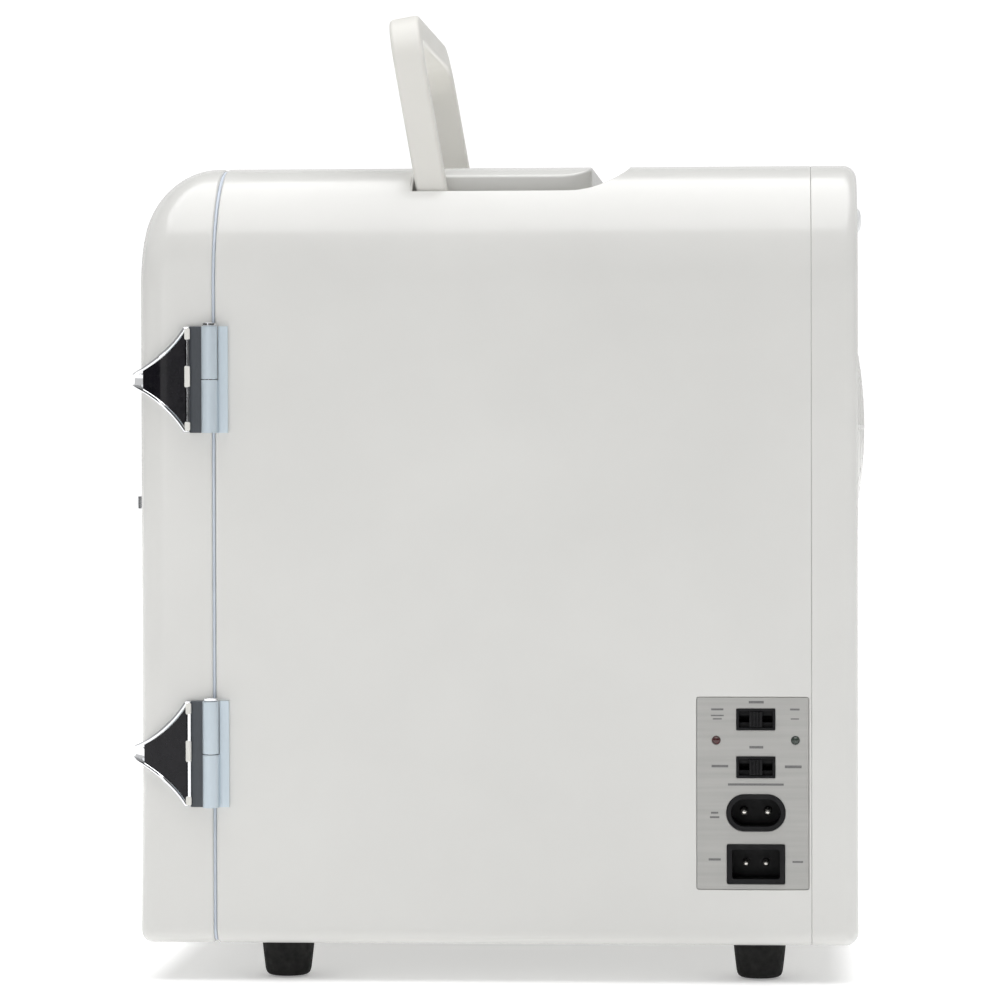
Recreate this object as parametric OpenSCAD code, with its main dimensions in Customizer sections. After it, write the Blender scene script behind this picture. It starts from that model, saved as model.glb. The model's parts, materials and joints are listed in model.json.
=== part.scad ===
// Countertop steriliser cabinet: a gloss cabinet on four feet with a side-hinged door, a folding
// carrying handle, a thermoelectric cooling and warming unit, and a germicidal lamp in its chamber.
// X runs across the cabinet with the hinges at +X, Y runs from the door to the back, Z is up.
// Positions are worked out with the door's front face at Y = 0 and the floor at Z = 0, and
// placed() then moves each piece so that the origin lies at the centre of the footprint.

/* [Cabinet] */
// Width of the cabinet
body_w = 196; // [186:1:206]
// Height of the cabinet without its feet
body_h = 283; // [275:1:300]
// Depth from the door's front face to the back
body_d = 260; // [255:1:280]
// Radius of the rounded shoulders along the top
shoulder_r = 45; // [40:1:48]
// Radius of the bottom edges
base_r = 7; // [5:0.5:9]
// Thickness of the outer mouldings
wall = 2.5; // [2:0.1:2.6]
// Depth of the rear cover
cover_d = 16.5; // [14:0.5:20]

/* [Door] */
// Thickness of the door
door_t = 27; // [26:0.5:30]
// Gap between the door and the cabinet
door_gap = 1.2; // [1.2:0.1:2]
// Radius of the door's top front edge
door_top_r = 25; // [18:1:25]
// Radius of the door's upright front edges
door_side_r = 10; // [8:0.5:12]
// Height of a hinge
hinge_h = 38.5; // [34:0.5:42]
// Height of the upper hinge's middle above the floor
upper_hinge_z = 217.6; // [200:0.2:225]
// Height of the lower hinge's middle above the floor
lower_hinge_z = 82.2; // [70:0.2:90]
// Height of the latch above the floor
latch_z = 170; // [160:1:180]
// How far the latch's finger tab stands out of the door
latch_reach = 28; // [24:1:30]

/* [Handle] */
// Width of the handle over its arms
handle_w = 159; // [150:1:162]
// Length from the pivot to the outside of the grip
handle_l = 69; // [60:1:70]
// Thickness of an arm, front to back with the handle raised
arm_t = 11.2; // [9:0.2:11.2]
// Width of an arm across the cabinet
arm_w = 7.5; // [6:0.5:7.5]
// Forward lean of the raised handle, in degrees
handle_lean = 10; // [8:1:10]

/* [Feet] */
// Height of a foot
foot_h = 13; // [10:0.5:16]
// Diameter of a foot at the top
foot_top_d = 18.5; // [16:0.5:20]
// Diameter of a foot at the floor
foot_base_d = 14; // [12:0.5:15]

/* [Chamber] */
// Width inside the chamber
chamber_w = 148; // [146:1:150]
// Height of the wire shelf above the floor
shelf_z = 130; // [110:1:132]

/* [Cooling unit] */
// Width and height of the fan
fan_size = 80; // [80:1:84]
// Height of the fan's axle above the floor
fan_z = 200; // [195:1:202]
// Rise of the domed fan guard out of the back
dome_rise = 4; // [3:0.5:5]

/* [Hidden] */
$fn = 64;
eps = 0.5;
clear = 0.1;
run_clear = 0.05;

// Cabinet
half_w = body_w / 2;
base_z = foot_h;
top_z = foot_h + body_h;
body_y = door_t + door_gap;
cover_y = body_d - cover_d;
shell_end_y = cover_y - 0.3;
frame_t = 3;
centre_y = (body_d + dome_rise - latch_reach) / 2;
side_in = half_w - wall;
floor_in = base_z + wall;

// Chamber
liner_t = 1.5;
chamber_x = chamber_w / 2;
chamber_z0 = foot_h + 29;
chamber_z1 = top_z - 44;
chamber_back_y = 170;
chamber_corner_r = 8;
ledge_w = 3;
ledge_t = 2;
liner_y = body_y + frame_t;
foam_end_y = 188;
foam_gap = 0.3;

// Handle and the groove that it folds into
pivot_y = 106;
pivot_z = top_z - 12.7;
grip_t = 10;
handle_r = 20;
handle_gap = 1;
groove_x = handle_w / 2 + handle_gap;
island_x = handle_w / 2 - arm_w - 0.8;
groove_y0 = pivot_y - 7.6;
groove_y1 = pivot_y + handle_l + 1.5;
island_y1 = pivot_y + handle_l - grip_t - 1.8;
groove_z = pivot_z - arm_t / 2 - 0.8;
groove_r = handle_r + handle_gap;
island_r = handle_r - arm_w - 1;
scoop_r = 9.5;
scoop_x = 24;
handle_pin_r = 2.5;

// Feet and their screws
foot_x = half_w - 20;
foot_ys = [52, 224.4];
foot_screw_r = 2;
foot_recess_r = 4.2;
foot_recess_h = 5;
boss_r = 5;
boss_top_z = floor_in + 10.5;

// Hinges: the axis stands just outside the cabinet's side, in line with the door gap
hinge_x = half_w + 3.4;
hinge_y = 26.6;
barrel_r = 2.9;
hinge_pin_r = 1.3;
hinge_zs = [upper_hinge_z, lower_hinge_z];
knuckle_gap = 0.15;
leaf_t = 1.4;
leaf_front_y = 19.4;
leaf_edge_y = 23.6;
fixed_leaf_y0 = 29.6;
fixed_leaf_y1 = 33;

// Spearhead straps of the hinges and the latch
strap_t = 3.2;
strap_tip_h = 5.4;
strap_shoulder = 2.4;
strap_sag = 2.2;
strap_tongue = 13;
inlay_t = 0.8;
inlay_margin = 1.6;
inlay_tip_y = 2;
pad_zs = [[14.4, 18.6], [-2.8, 5], [-18.6, -15.2]];
pad_y = 17.6;
small_screw_r = 0.9;
small_head_r = 2.2;
small_head_t = 1.8;
strap_screws_yz = [[14.5, 9], [14.5, -9]];
leaf_screw_z = 12;

// Latch on the left of the door: a lever on a cross pin, hooked over a stud
latch_pivot_y = 8;
latch_pin_r = 2;
lever_x0 = -half_w - strap_t - 4.6;
lever_x1 = -half_w - strap_t - 1;
lever_boss_r = 7;
lever_tab_t = 5;
lever_tab_x1 = -half_w + 14;
lever_tab_y = -8;
hook_y0 = 38;
hook_y1 = 41.5;
hook_lip_z = latch_z - 5;
stud_y = 34.6;
stud_r = 2.2;
stud_z = hook_lip_z - stud_r - 0.3;
spring_r = 4.3;
spring_wire_r = 0.55;
spring_pocket_r = 5.4;
keeper_t = 1.5;
keeper_y = [30, 45];
keeper_z = [stud_z - 6.5, stud_z + 4];
keeper_screw_y = 41;

// Control plate on the right-hand side, at the back
plate_y = [202, 242.2];
plate_z = [33.8, 103];
plate_t = 1.3;
plate_ledge = 1.3;
plate_x1 = half_w - 0.2;
plate_x0 = plate_x1 - plate_t;
control_y = 223.2;
switch_w = 13.8;
switch_h = 7.6;
power_switch_z = 95;
mode_switch_z = 77.8;
switch_body_w = 18;
switch_body_h = 11;
switch_depth = 14;
well_wall = 0.8;
well_depth = 3;
knob_w = 4.6;
knob_travel = 3.6;
slot_h = 2.4;
stem_h = 2;
indicator_r = 1.5;
indicator_z = 87.5;
red_y = 209;
green_y = 237.4;

// Mains inlet: a two-pin figure-eight inlet with pins 8.6 mm apart
ac_z = 61.4;
ac_w = 21.1;
ac_h = 13.2;
ac_recess_w = 17.8;
ac_recess_h = 9.9;
ac_pin_gap = 8.6;
ac_pin_r = 1.2;
// Low-voltage inlet: two pins in a rectangular recess
dc_z = 42.9;
dc_w = 20.7;
dc_h = 14.2;
dc_recess_w = 17.2;
dc_recess_h = 10.7;
dc_pin_gap = 7.2;
dc_pin_r = 1;
inlet_front_x = half_w + 0.3;
inlet_depth = 16;
recess_depth = 12.5;
pin_tip_x = half_w - 3;
pin_tail_x = half_w - 20;

// Cooling unit, from the chamber to the back
cold_plate_w = 120;
cold_plate_z = [fan_z - 58, fan_z + 48];
cold_plate_t = 4;
spacer_w = 40;
spacer_end_y = chamber_back_y + 16;
module_t = 3.8;
sink_w = 100;
sink_base_t = 5;
sink_y = spacer_end_y + module_t;
fin_t = 1.6;
fin_pitch = 8;
fin_count = 12;
fin_end_y = 227;
sink_screw_x = 30;
sink_screw_r = 1.5;
fan_y0 = 228;
fan_y1 = 248;
fan_bore_r = fan_size / 2 - 1.5;
fan_screw_pitch = 71.5;
fan_screw_r = 1.8;
hub_r = 16;
shaft_r = 1.5;
blade_count = 7;
blade_r = fan_bore_r - 2;
blade_pitch = 40;
guard_r = 38;
guard_hole_r = guard_r + clear;

// Rear cover
cover_r = 5;
lip_t = 2;
lip_d = 5.5;
vent_count = 9;
vent_pitch = 5.4;
vent_h = 3;
vent_w = 90;
vent_z0 = 95;
cover_screws_xz = [[88.5, 240], [-88.5, 240], [50, 21], [-50, 21]];
cover_screw_r = 1.5;
cover_boss_r = 5;
bumper_x = 70;
bumper_z = top_z - 21;

// Electronics in the bay under the fan
board_z = 28;
board_t = 1.6;
board_x = [-66, 70];
board_y = [192, 236];
board_posts = [[-60, 197], [-60, 231], [64, 197], [64, 231]];
post_r = 3;
lead_r = 1.1;
ac_lead_x = 58;
dc_lead_x = 66;

// Door pocket
pocket_x = 60;
pocket_z = [62, 240];
pocket_y = 12;
pocket_wall = 1.5;
door_liner_t = 2.4;
bin_zs = [69, 150];
bin_h = 28;

// Lamp
lamp_r = 7.5;
lamp_y = 72;
lamp_z = chamber_z1 - 13;
lamp_half = 60;
cap_end = 67.5;

// ---- Shared shapes ----

module placed() {
    translate([0, -centre_y, 0]) children();
}

module block(low, high) {
    translate(low) cube(high - low);
}

// A 2D shape drawn in X and Z, from y0 to y1
module along_y(y0, y1) {
    translate([0, y1, 0]) rotate([90, 0, 0]) linear_extrude(y1 - y0) children();
}

// A 2D shape drawn in Y and Z, from x0 to x1
module along_x(x0, x1) {
    translate([x0, 0, 0]) rotate([90, 0, 90]) linear_extrude(x1 - x0) children();
}

// A 2D shape drawn in X and Y, from z0 to z1
module along_z(z0, z1) {
    translate([0, 0, z0]) linear_extrude(z1 - z0) children();
}

module rod_x(x0, x1, y, z, r) {
    translate([x0, y, z]) rotate([0, 90, 0]) cylinder(h = x1 - x0, r = r);
}

module rod_y(y0, y1, x, z, r) {
    translate([x, y1, z]) rotate([90, 0, 0]) cylinder(h = y1 - y0, r = r);
}

module rod_z(z0, z1, x, y, r) {
    translate([x, y, z0]) cylinder(h = z1 - z0, r = r);
}

module both_sides() {
    children();
    mirror([1, 0, 0]) children();
}

module rect2d(low, high) {
    translate(low) square(high - low);
}

// A rectangle with all four corners rounded
module rounded2d(low, high, r) {
    rect2d([low.x + r, low.y], [high.x - r, high.y]);
    rect2d([low.x, low.y + r], [high.x, high.y - r]);
    for (x = [low.x + r, high.x - r], y = [low.y + r, high.y - r])
        translate([x, y]) circle(r);
}

module stadium2d(y, z, w, h) {
    rounded2d([y - w / 2, z - h / 2], [y + w / 2, z + h / 2], h / 2 - 0.01);
}

// The cabinet seen from the front, drawn smaller all round by inset
module outline(inset = 0) {
    w = half_w - inset;
    top_r = shoulder_r - inset;
    low_r = max(base_r - inset, 0.6);
    z0 = base_z + inset;
    z1 = top_z - inset;
    rect2d([-w, z0 + low_r], [w, z1 - top_r]);
    rect2d([-w + low_r, z0], [w - low_r, z0 + low_r + 1]);
    rect2d([-w + top_r, z1 - top_r - 1], [w - top_r, z1]);
    for (x = [-w + low_r, w - low_r]) translate([x, z0 + low_r]) circle(low_r);
    for (x = [-w + top_r, w - top_r]) translate([x, z1 - top_r]) circle(top_r);
}

// ---- Cabinet mouldings ----

// The U-shaped groove that the handle folds into, with a scoop behind it for a fingertip
module groove(grow = 0) {
    gx = groove_x + grow;
    ix = island_x - grow;
    r = groove_r + grow;
    along_z(groove_z - grow, top_z + 5) difference() {
        union() {
            rect2d([-gx, groove_y0 - grow], [gx, groove_y1 + grow - r]);
            rect2d([-gx + r, groove_y1 - r - 1], [gx - r, groove_y1 + grow]);
            for (x = [-gx + r, gx - r]) translate([x, groove_y1 + grow - r]) circle(r);
        }
        ir = island_r - grow;
        iy = island_y1 - grow;
        rect2d([-ix, groove_y0 - 20], [ix, iy - ir]);
        rect2d([-ix + ir, iy - ir - 1], [ix - ir, iy]);
        for (x = [-ix + ir, ix - ir]) translate([x, iy - ir]) circle(ir);
    }
    rod_x(-scoop_x - grow, scoop_x + grow, groove_y1 - 3.5, top_z + 1, scoop_r + grow);
}

module foot_bosses(r, z0, z1) {
    for (x = [-foot_x, foot_x], y = foot_ys) rod_z(z0, z1, x, y, r);
}

module cover_bosses(r, y0) {
    for (p = cover_screws_xz) rod_y(y0, shell_end_y, p.x, p.y, r);
}

module outer_shell() {
    color([0.95, 0.95, 0.93]) placed() difference() {
        union() {
            difference() {
                along_y(body_y, shell_end_y) outline();
                along_y(body_y - 1, shell_end_y + 1) outline(wall);
            }
            intersection() {
                along_y(body_y, shell_end_y) outline();
                groove(wall);
            }
            foot_bosses(boss_r, floor_in - eps, boss_top_z);
            cover_bosses(cover_boss_r, 226);
            both_sides() {
                block([cover_screws_xz[0].x, 226, cover_screws_xz[0].y - 3],
                    [side_in + eps, shell_end_y, cover_screws_xz[0].y + 3]);
                block([cover_screws_xz[2].x - 3, 226, floor_in - eps],
                    [cover_screws_xz[2].x + 3, shell_end_y, cover_screws_xz[2].y]);
            }
            for (p = board_posts) rod_z(floor_in - eps, board_z, p.x, p.y, post_r);
        }
        groove();
        foot_bosses(foot_screw_r + clear, base_z - 1, boss_top_z - 1);
        cover_bosses(cover_screw_r + clear, 231);
        for (p = board_posts) rod_z(board_z - 8, board_z + 1, p.x, p.y, small_screw_r + clear);
        both_sides() rod_x(island_x - wall - 1, groove_x, pivot_y, pivot_z, handle_pin_r + clear);
        block([side_in - 1, plate_y[0] + plate_ledge, plate_z[0] + plate_ledge],
            [half_w + 1, plate_y[1] - plate_ledge, plate_z[1] - plate_ledge]);
        block([plate_x0 - clear, plate_y[0] - clear, plate_z[0] - clear],
            [half_w + 1, plate_y[1] + clear, plate_z[1] + clear]);
        leaf_screw_holes(small_screw_r + clear);
    }
}

module leaf_screw_holes(r) {
    for (z = hinge_zs, dz = [-leaf_screw_z, leaf_screw_z])
        rod_x(side_in - 1, half_w + 1, (fixed_leaf_y0 + fixed_leaf_y1) / 2, z + dz, r);
    for (z = [keeper_z[0] + 3, keeper_z[1] + 1.5])
        rod_x(-half_w - 1, -side_in + 1, keeper_screw_y, z, r);
}

module chamber2d(grow = 0) {
    rounded2d([-chamber_x - grow, chamber_z0 - grow], [chamber_x + grow, chamber_z1 + grow],
        chamber_corner_r + grow);
}

module front_frame() {
    color([0.93, 0.93, 0.91]) placed() difference() {
        along_y(body_y, liner_y) outline(wall + clear);
        along_y(body_y - 1, liner_y + 1) chamber2d();
        for (z = hinge_zs, dz = [-leaf_screw_z, leaf_screw_z])
            rod_x(side_in - 3, half_w, (fixed_leaf_y0 + fixed_leaf_y1) / 2, z + dz, small_head_r + 0.4);
    }
}

module sink_screw_holes(r, y0, y1) {
    for (x = [-sink_screw_x, sink_screw_x]) rod_y(y0, y1, x, fan_z, r);
}

module chamber_liner() {
    color([0.90, 0.91, 0.92]) placed() {
        difference() {
            along_y(liner_y, chamber_back_y + liner_t) chamber2d(liner_t);
            along_y(liner_y - 1, chamber_back_y) chamber2d();
            along_y(chamber_back_y - 1, chamber_back_y + liner_t + 1)
                rounded2d([-spacer_w / 2 - 1, fan_z - spacer_w / 2 - 1],
                    [spacer_w / 2 + 1, fan_z + spacer_w / 2 + 1], 1);
            sink_screw_holes(sink_screw_r + 0.5, chamber_back_y - 1, chamber_back_y + liner_t + 1);
        }
        both_sides() block([chamber_x - ledge_w, liner_y + 8, shelf_z - ledge_t],
            [chamber_x + eps, chamber_back_y - 8, shelf_z]);
    }
}

module insulation() {
    color([0.93, 0.88, 0.70]) placed() difference() {
        along_y(liner_y + foam_gap, foam_end_y) outline(wall + foam_gap);
        along_y(liner_y - 1, chamber_back_y + liner_t + foam_gap) chamber2d(liner_t + foam_gap);
        block([-spacer_w / 2 - 1, chamber_back_y, fan_z - spacer_w / 2 - 1],
            [spacer_w / 2 + 1, foam_end_y + 1, fan_z + spacer_w / 2 + 1]);
        sink_screw_holes(sink_screw_r + 0.5, chamber_back_y, foam_end_y + 1);
        groove(wall + foam_gap);
        both_sides() rod_x(island_x - wall - 8, groove_x, pivot_y, pivot_z, 5);
        foot_bosses(boss_r + foam_gap, base_z, boss_top_z + 1);
        for (z = hinge_zs, dz = [-leaf_screw_z, leaf_screw_z])
            rod_x(side_in - 3, half_w, (fixed_leaf_y0 + fixed_leaf_y1) / 2, z + dz, small_head_r + 0.4);
        for (z = [keeper_z[0] + 3, keeper_z[1] + 1.5])
            rod_x(-half_w, -side_in + 3, keeper_screw_y, z, small_head_r + 0.4);
        block([-71, liner_y, top_z - 41], [-49, liner_y + 8, top_z - 33]);
    }
}

// ---- Rear cover ----

// The cover's outside: the cabinet's outline with its rear edges rounded
module cover_solid(inset = 0, front = 0) {
    y1 = body_d - inset;
    r = cover_r - inset;
    intersection() {
        along_y(cover_y - front, y1) outline(inset);
        along_x(-half_w, half_w)
            rounded2d([cover_y - 20, base_z + inset], [y1, top_z - inset], max(r - 1, 0.5));
        along_z(0, top_z) rounded2d([-half_w + inset, cover_y - 20], [half_w - inset, y1], r);
    }
}

module rear_cover() {
    color([0.95, 0.95, 0.93]) placed() difference() {
        union() {
            cover_solid();
            difference() {
                along_y(cover_y - lip_d, cover_y + 1) outline(wall + 0.2);
                cover_bosses(cover_boss_r + 0.5, cover_y - 8);
                both_sides() {
                    block([cover_screws_xz[0].x, cover_y - 8, cover_screws_xz[0].y - 3.5],
                        [half_w, cover_y, cover_screws_xz[0].y + 3.5]);
                    block([cover_screws_xz[2].x - 3.5, cover_y - 8, base_z],
                        [cover_screws_xz[2].x + 3.5, cover_y, cover_screws_xz[2].y]);
                }
                // room for the indicators and inlets behind the control plate
                block([side_in - 5, cover_y - 8, plate_z[0] - 2], [half_w, cover_y, plate_z[1] + 2]);
            }
        }
        difference() {
            cover_solid(wall, lip_d + 1);
            for (p = cover_screws_xz) rod_y(cover_y, body_d, p.x, p.y, cover_boss_r);
        }
        along_y(cover_y - lip_d - 1, cover_y + 1) outline(wall + 0.2 + lip_t);
        rod_y(body_d - wall - 1, body_d + 1, 0, fan_z, guard_hole_r);
        for (i = [0:vent_count - 1])
            block([-vent_w / 2, body_d - wall - 1, vent_z0 + i * vent_pitch],
                [vent_w / 2, body_d + 1, vent_z0 + i * vent_pitch + vent_h]);
        for (p = cover_screws_xz) {
            rod_y(cover_y - 1, body_d + 1, p.x, p.y, cover_screw_r + clear);
            rod_y(body_d - 2.5, body_d + 1, p.x, p.y, 3.2);
        }
        for (x = [-bumper_x, bumper_x]) rod_y(body_d - 5, body_d + 1, x, bumper_z, 1.6);
    }
}

// A domed grille: rings and spokes cut from a shallow dome, in a flat rim
module fan_guard() {
    dome_base_r = guard_r - 2;
    dome_r = (dome_base_r * dome_base_r + dome_rise * dome_rise) / (2 * dome_rise);
    dome_y = body_d + dome_rise - dome_r;
    color([0.93, 0.93, 0.91]) placed() {
        intersection() {
            difference() {
                translate([0, dome_y, fan_z]) sphere(dome_r);
                translate([0, dome_y, fan_z]) sphere(dome_r - 1.8);
            }
            along_y(body_d - 3, body_d + dome_rise + 1) translate([0, fan_z]) {
                for (r = [7:5.4:dome_base_r]) difference() {
                    circle(r);
                    circle(r - 2.2);
                }
                intersection() {
                    for (a = [0:45:135]) rotate(a) square([2 * guard_r, 2.2], center = true);
                    circle(dome_base_r + 0.5);
                }
            }
        }
        difference() {
            rod_y(body_d - wall, body_d + 0.8, 0, fan_z, guard_r);
            rod_y(body_d - wall - 1, body_d + 2, 0, fan_z, dome_base_r - 0.4);
        }
    }
}

module rear_bumpers() {
    color([0.90, 0.91, 0.91]) placed() for (x = [-bumper_x, bumper_x]) {
        rod_y(body_d, body_d + 1.6, x, bumper_z, 4.5);
        rod_y(body_d - wall, body_d + eps, x, bumper_z, 1.5);
    }
}

module cover_screws() {
    color([0.75, 0.75, 0.77]) placed() for (p = cover_screws_xz) difference() {
        union() {
            rod_y(233, body_d - 1, p.x, p.y, cover_screw_r);
            rod_y(body_d - 2.4, body_d - 0.6, p.x, p.y, 3);
        }
        block([p.x - 2, body_d - 1.4, p.y - 0.4], [p.x + 2, body_d, p.y + 0.4]);
        block([p.x - 0.4, body_d - 1.4, p.y - 2], [p.x + 0.4, body_d, p.y + 2]);
    }
}

// ---- Feet ----

module rubber_feet() {
    color([0.04, 0.04, 0.04]) placed() for (x = [-foot_x, foot_x], y = foot_ys)
        translate([x, y, 0]) difference() {
            cylinder(h = foot_h, r1 = foot_base_d / 2, r2 = foot_top_d / 2);
            translate([0, 0, -1]) cylinder(h = foot_recess_h + 1, r = foot_recess_r);
            translate([0, 0, -1]) cylinder(h = foot_h + 2, r = foot_screw_r + clear);
        }
}

module foot_screws() {
    color([0.70, 0.70, 0.72]) placed() for (x = [-foot_x, foot_x], y = foot_ys) difference() {
        union() {
            rod_z(foot_recess_h - 2.4, foot_recess_h, x, y, foot_recess_r - 0.4);
            rod_z(foot_recess_h - 1, boss_top_z - 2, x, y, foot_screw_r);
        }
        block([x - 2.6, y - 0.5, 0], [x + 2.6, y + 0.5, foot_recess_h - 1.2]);
        block([x - 0.5, y - 2.6, 0], [x + 0.5, y + 2.6, foot_recess_h - 1.2]);
    }
}

// ---- Control plate, switches, indicators and inlets ----

module switch_opening(z, grow) {
    rect2d([control_y - switch_w / 2 - grow, z - switch_h / 2 - grow],
        [control_y + switch_w / 2 + grow, z + switch_h / 2 + grow]);
}

module control_plate() {
    color([0.63, 0.63, 0.62]) placed() along_x(plate_x0, plate_x1) difference() {
        rounded2d([plate_y[0], plate_z[0]], [plate_y[1], plate_z[1]], 0.8);
        switch_opening(power_switch_z, clear);
        switch_opening(mode_switch_z, clear);
        for (y = [red_y, green_y]) translate([y, indicator_z]) circle(indicator_r + clear);
        stadium2d(control_y, ac_z, ac_w + 2 * clear, ac_h + 2 * clear);
        rounded2d([control_y - dc_w / 2 - clear, dc_z - dc_h / 2 - clear],
            [control_y + dc_w / 2 + clear, dc_z + dc_h / 2 + clear], 0.5);
    }
}

// A slide switch: a bezel through the plate, with a well and a slot for the slider's stem
module switch_housing(z) {
    front_x = half_w + 0.2;
    back_x = plate_x0 - clear - switch_depth;
    well_x = front_x - well_depth;
    difference() {
        union() {
            along_x(plate_x0 - 1, front_x) switch_opening(z, 0);
            block([back_x, control_y - switch_body_w / 2, z - switch_body_h / 2 + 0.5],
                [plate_x0 - clear, control_y + switch_body_w / 2, z + switch_body_h / 2 - 0.5]);
        }
        along_x(well_x, front_x + 1) switch_opening(z, -well_wall);
        block([back_x + 2, control_y - knob_travel - knob_w / 2, z - slot_h / 2],
            [well_x + 1, control_y + knob_travel + knob_w / 2, z + slot_h / 2]);
    }
}

// The sliding knob, ribbed for a fingernail, on a flat stem
module switch_slider(z) {
    front_x = half_w + 0.2;
    well_x = front_x - well_depth;
    knob_h = switch_h - 2 * well_wall - 0.4;
    difference() {
        union() {
            block([well_x + 0.2, control_y - knob_w / 2, z - knob_h / 2],
                [front_x + 0.6, control_y + knob_w / 2, z + knob_h / 2]);
            block([well_x - 6, control_y - knob_w / 2 + 0.6, z - stem_h / 2],
                [well_x + 1, control_y + knob_w / 2 - 0.6, z + stem_h / 2]);
        }
        for (dy = [-1.2, 0, 1.2])
            block([front_x + 0.1, control_y + dy - 0.25, z - knob_h / 2 - 1],
                [front_x + 1, control_y + dy + 0.25, z + knob_h / 2 + 1]);
    }
}

module power_switch_housing() {
    color([0.05, 0.05, 0.05]) placed() switch_housing(power_switch_z);
}

module power_switch_slider() {
    color([0.10, 0.10, 0.10]) placed() switch_slider(power_switch_z);
}

module mode_switch_housing() {
    color([0.05, 0.05, 0.05]) placed() switch_housing(mode_switch_z);
}

module mode_switch_slider() {
    color([0.10, 0.10, 0.10]) placed() switch_slider(mode_switch_z);
}

// An indicator lamp: a round-nosed lens with a collar behind the plate
module indicator(y) {
    placed() {
        rod_x(plate_x0 - 5, plate_x1, y, indicator_z, indicator_r);
        translate([plate_x1 - indicator_r / 2, y, indicator_z]) sphere(indicator_r);
        rod_x(plate_x0 - 6, plate_x0 - clear, y, indicator_z, indicator_r + 0.6);
    }
}

module power_indicator() {
    color([0.25, 0.03, 0.03]) indicator(red_y);
}

module mode_indicator() {
    color([0.10, 0.22, 0.12]) indicator(green_y);
}

module ac_inlet() {
    color([0.04, 0.04, 0.04]) placed() difference() {
        along_x(inlet_front_x - inlet_depth, inlet_front_x) stadium2d(control_y, ac_z, ac_w, ac_h);
        along_x(inlet_front_x - recess_depth, inlet_front_x + 1)
            stadium2d(control_y, ac_z, ac_recess_w, ac_recess_h);
        for (dy = [-ac_pin_gap / 2, ac_pin_gap / 2])
            rod_x(pin_tail_x, half_w, control_y + dy, ac_z, ac_pin_r + clear);
    }
}

module inlet_pins(z, gap, r) {
    for (dy = [-gap / 2, gap / 2]) {
        rod_x(pin_tail_x, pin_tip_x - r, control_y + dy, z, r);
        translate([pin_tip_x - r, control_y + dy, z]) sphere(r);
    }
}

module ac_inlet_pins() {
    color([0.85, 0.85, 0.86]) placed() inlet_pins(ac_z, ac_pin_gap, ac_pin_r);
}

module dc_inlet() {
    color([0.04, 0.04, 0.04]) placed() difference() {
        along_x(inlet_front_x - inlet_depth, inlet_front_x)
            rounded2d([control_y - dc_w / 2, dc_z - dc_h / 2],
                [control_y + dc_w / 2, dc_z + dc_h / 2], 0.5);
        along_x(inlet_front_x - recess_depth, inlet_front_x + 1)
            rounded2d([control_y - dc_recess_w / 2, dc_z - dc_recess_h / 2],
                [control_y + dc_recess_w / 2, dc_z + dc_recess_h / 2], 1);
        for (dy = [-dc_pin_gap / 2, dc_pin_gap / 2])
            rod_x(pin_tail_x, half_w, control_y + dy, dc_z, dc_pin_r + clear);
    }
}

module dc_inlet_pins() {
    color([0.85, 0.85, 0.86]) placed() inlet_pins(dc_z, dc_pin_gap, dc_pin_r);
}

// ---- Electronics ----

module circuit_board() {
    color([0.10, 0.35, 0.18]) placed() difference() {
        block([board_x[0], board_y[0], board_z], [board_x[1], board_y[1], board_z + board_t]);
        for (p = board_posts)
            rod_z(board_z - 1, board_z + board_t + 1, p.x, p.y, small_screw_r + clear);
    }
}

module board_screws() {
    color([0.75, 0.75, 0.77]) placed() for (p = board_posts) {
        rod_z(board_z - 6, board_z + board_t + 1, p.x, p.y, small_screw_r);
        rod_z(board_z + board_t, board_z + board_t + small_head_t, p.x, p.y, small_head_r);
    }
}

// The transformer, two smoothing capacitors and the regulator's finned plate
module board_parts() {
    z0 = board_z + board_t;
    color([0.22, 0.20, 0.18]) placed() {
        block([-48, 198, z0], [-12, 230, z0 + 26]);
        rod_z(z0, z0 + 25, 2, 206, 7);
        rod_z(z0, z0 + 25, 2, 223, 7);
        block([18, 200, z0], [21, 228, z0 + 22]);
        for (i = [0:4]) block([20, 202 + 5.6 * i, z0 + 3], [30, 204 + 5.6 * i, z0 + 22]);
        block([38, 200, z0], [50, 212, z0 + 9]);
    }
}

// A lead from an inlet's pin across to the board, with a rounded bend
module lead(y, z, x) {
    rod_x(x, pin_tail_x - clear, y, z, lead_r);
    translate([x, y, z]) sphere(lead_r);
    rod_z(board_z + board_t, z, x, y, lead_r);
}

module wiring() {
    color([0.20, 0.25, 0.60]) placed() {
        for (s = [-1, 1]) {
            lead(control_y + s * ac_pin_gap / 2, ac_z, ac_lead_x);
            lead(control_y + s * dc_pin_gap / 2, dc_z, dc_lead_x);
            rod_z(board_z + board_t, fan_z - fan_size / 2 - clear, -30 + 3 * s, 232, lead_r);
        }
    }
}

// ---- Cooling and warming unit ----

module cold_plate() {
    color([0.78, 0.79, 0.80]) placed() difference() {
        union() {
            block([-cold_plate_w / 2, chamber_back_y - cold_plate_t, cold_plate_z[0]],
                [cold_plate_w / 2, chamber_back_y, cold_plate_z[1]]);
            block([-spacer_w / 2, chamber_back_y - 1, fan_z - spacer_w / 2],
                [spacer_w / 2, chamber_back_y + liner_t, fan_z + spacer_w / 2]);
        }
        sink_screw_holes(sink_screw_r + clear, chamber_back_y - cold_plate_t - 1, chamber_back_y + 1);
    }
}

module spacer_block() {
    color([0.70, 0.71, 0.73]) placed()
        block([-spacer_w / 2, chamber_back_y + liner_t, fan_z - spacer_w / 2],
            [spacer_w / 2, spacer_end_y, fan_z + spacer_w / 2]);
}

module thermoelectric_module() {
    color([0.92, 0.92, 0.90]) placed()
        block([-spacer_w / 2, spacer_end_y, fan_z - spacer_w / 2],
            [spacer_w / 2, sink_y, fan_z + spacer_w / 2]);
}

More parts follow.
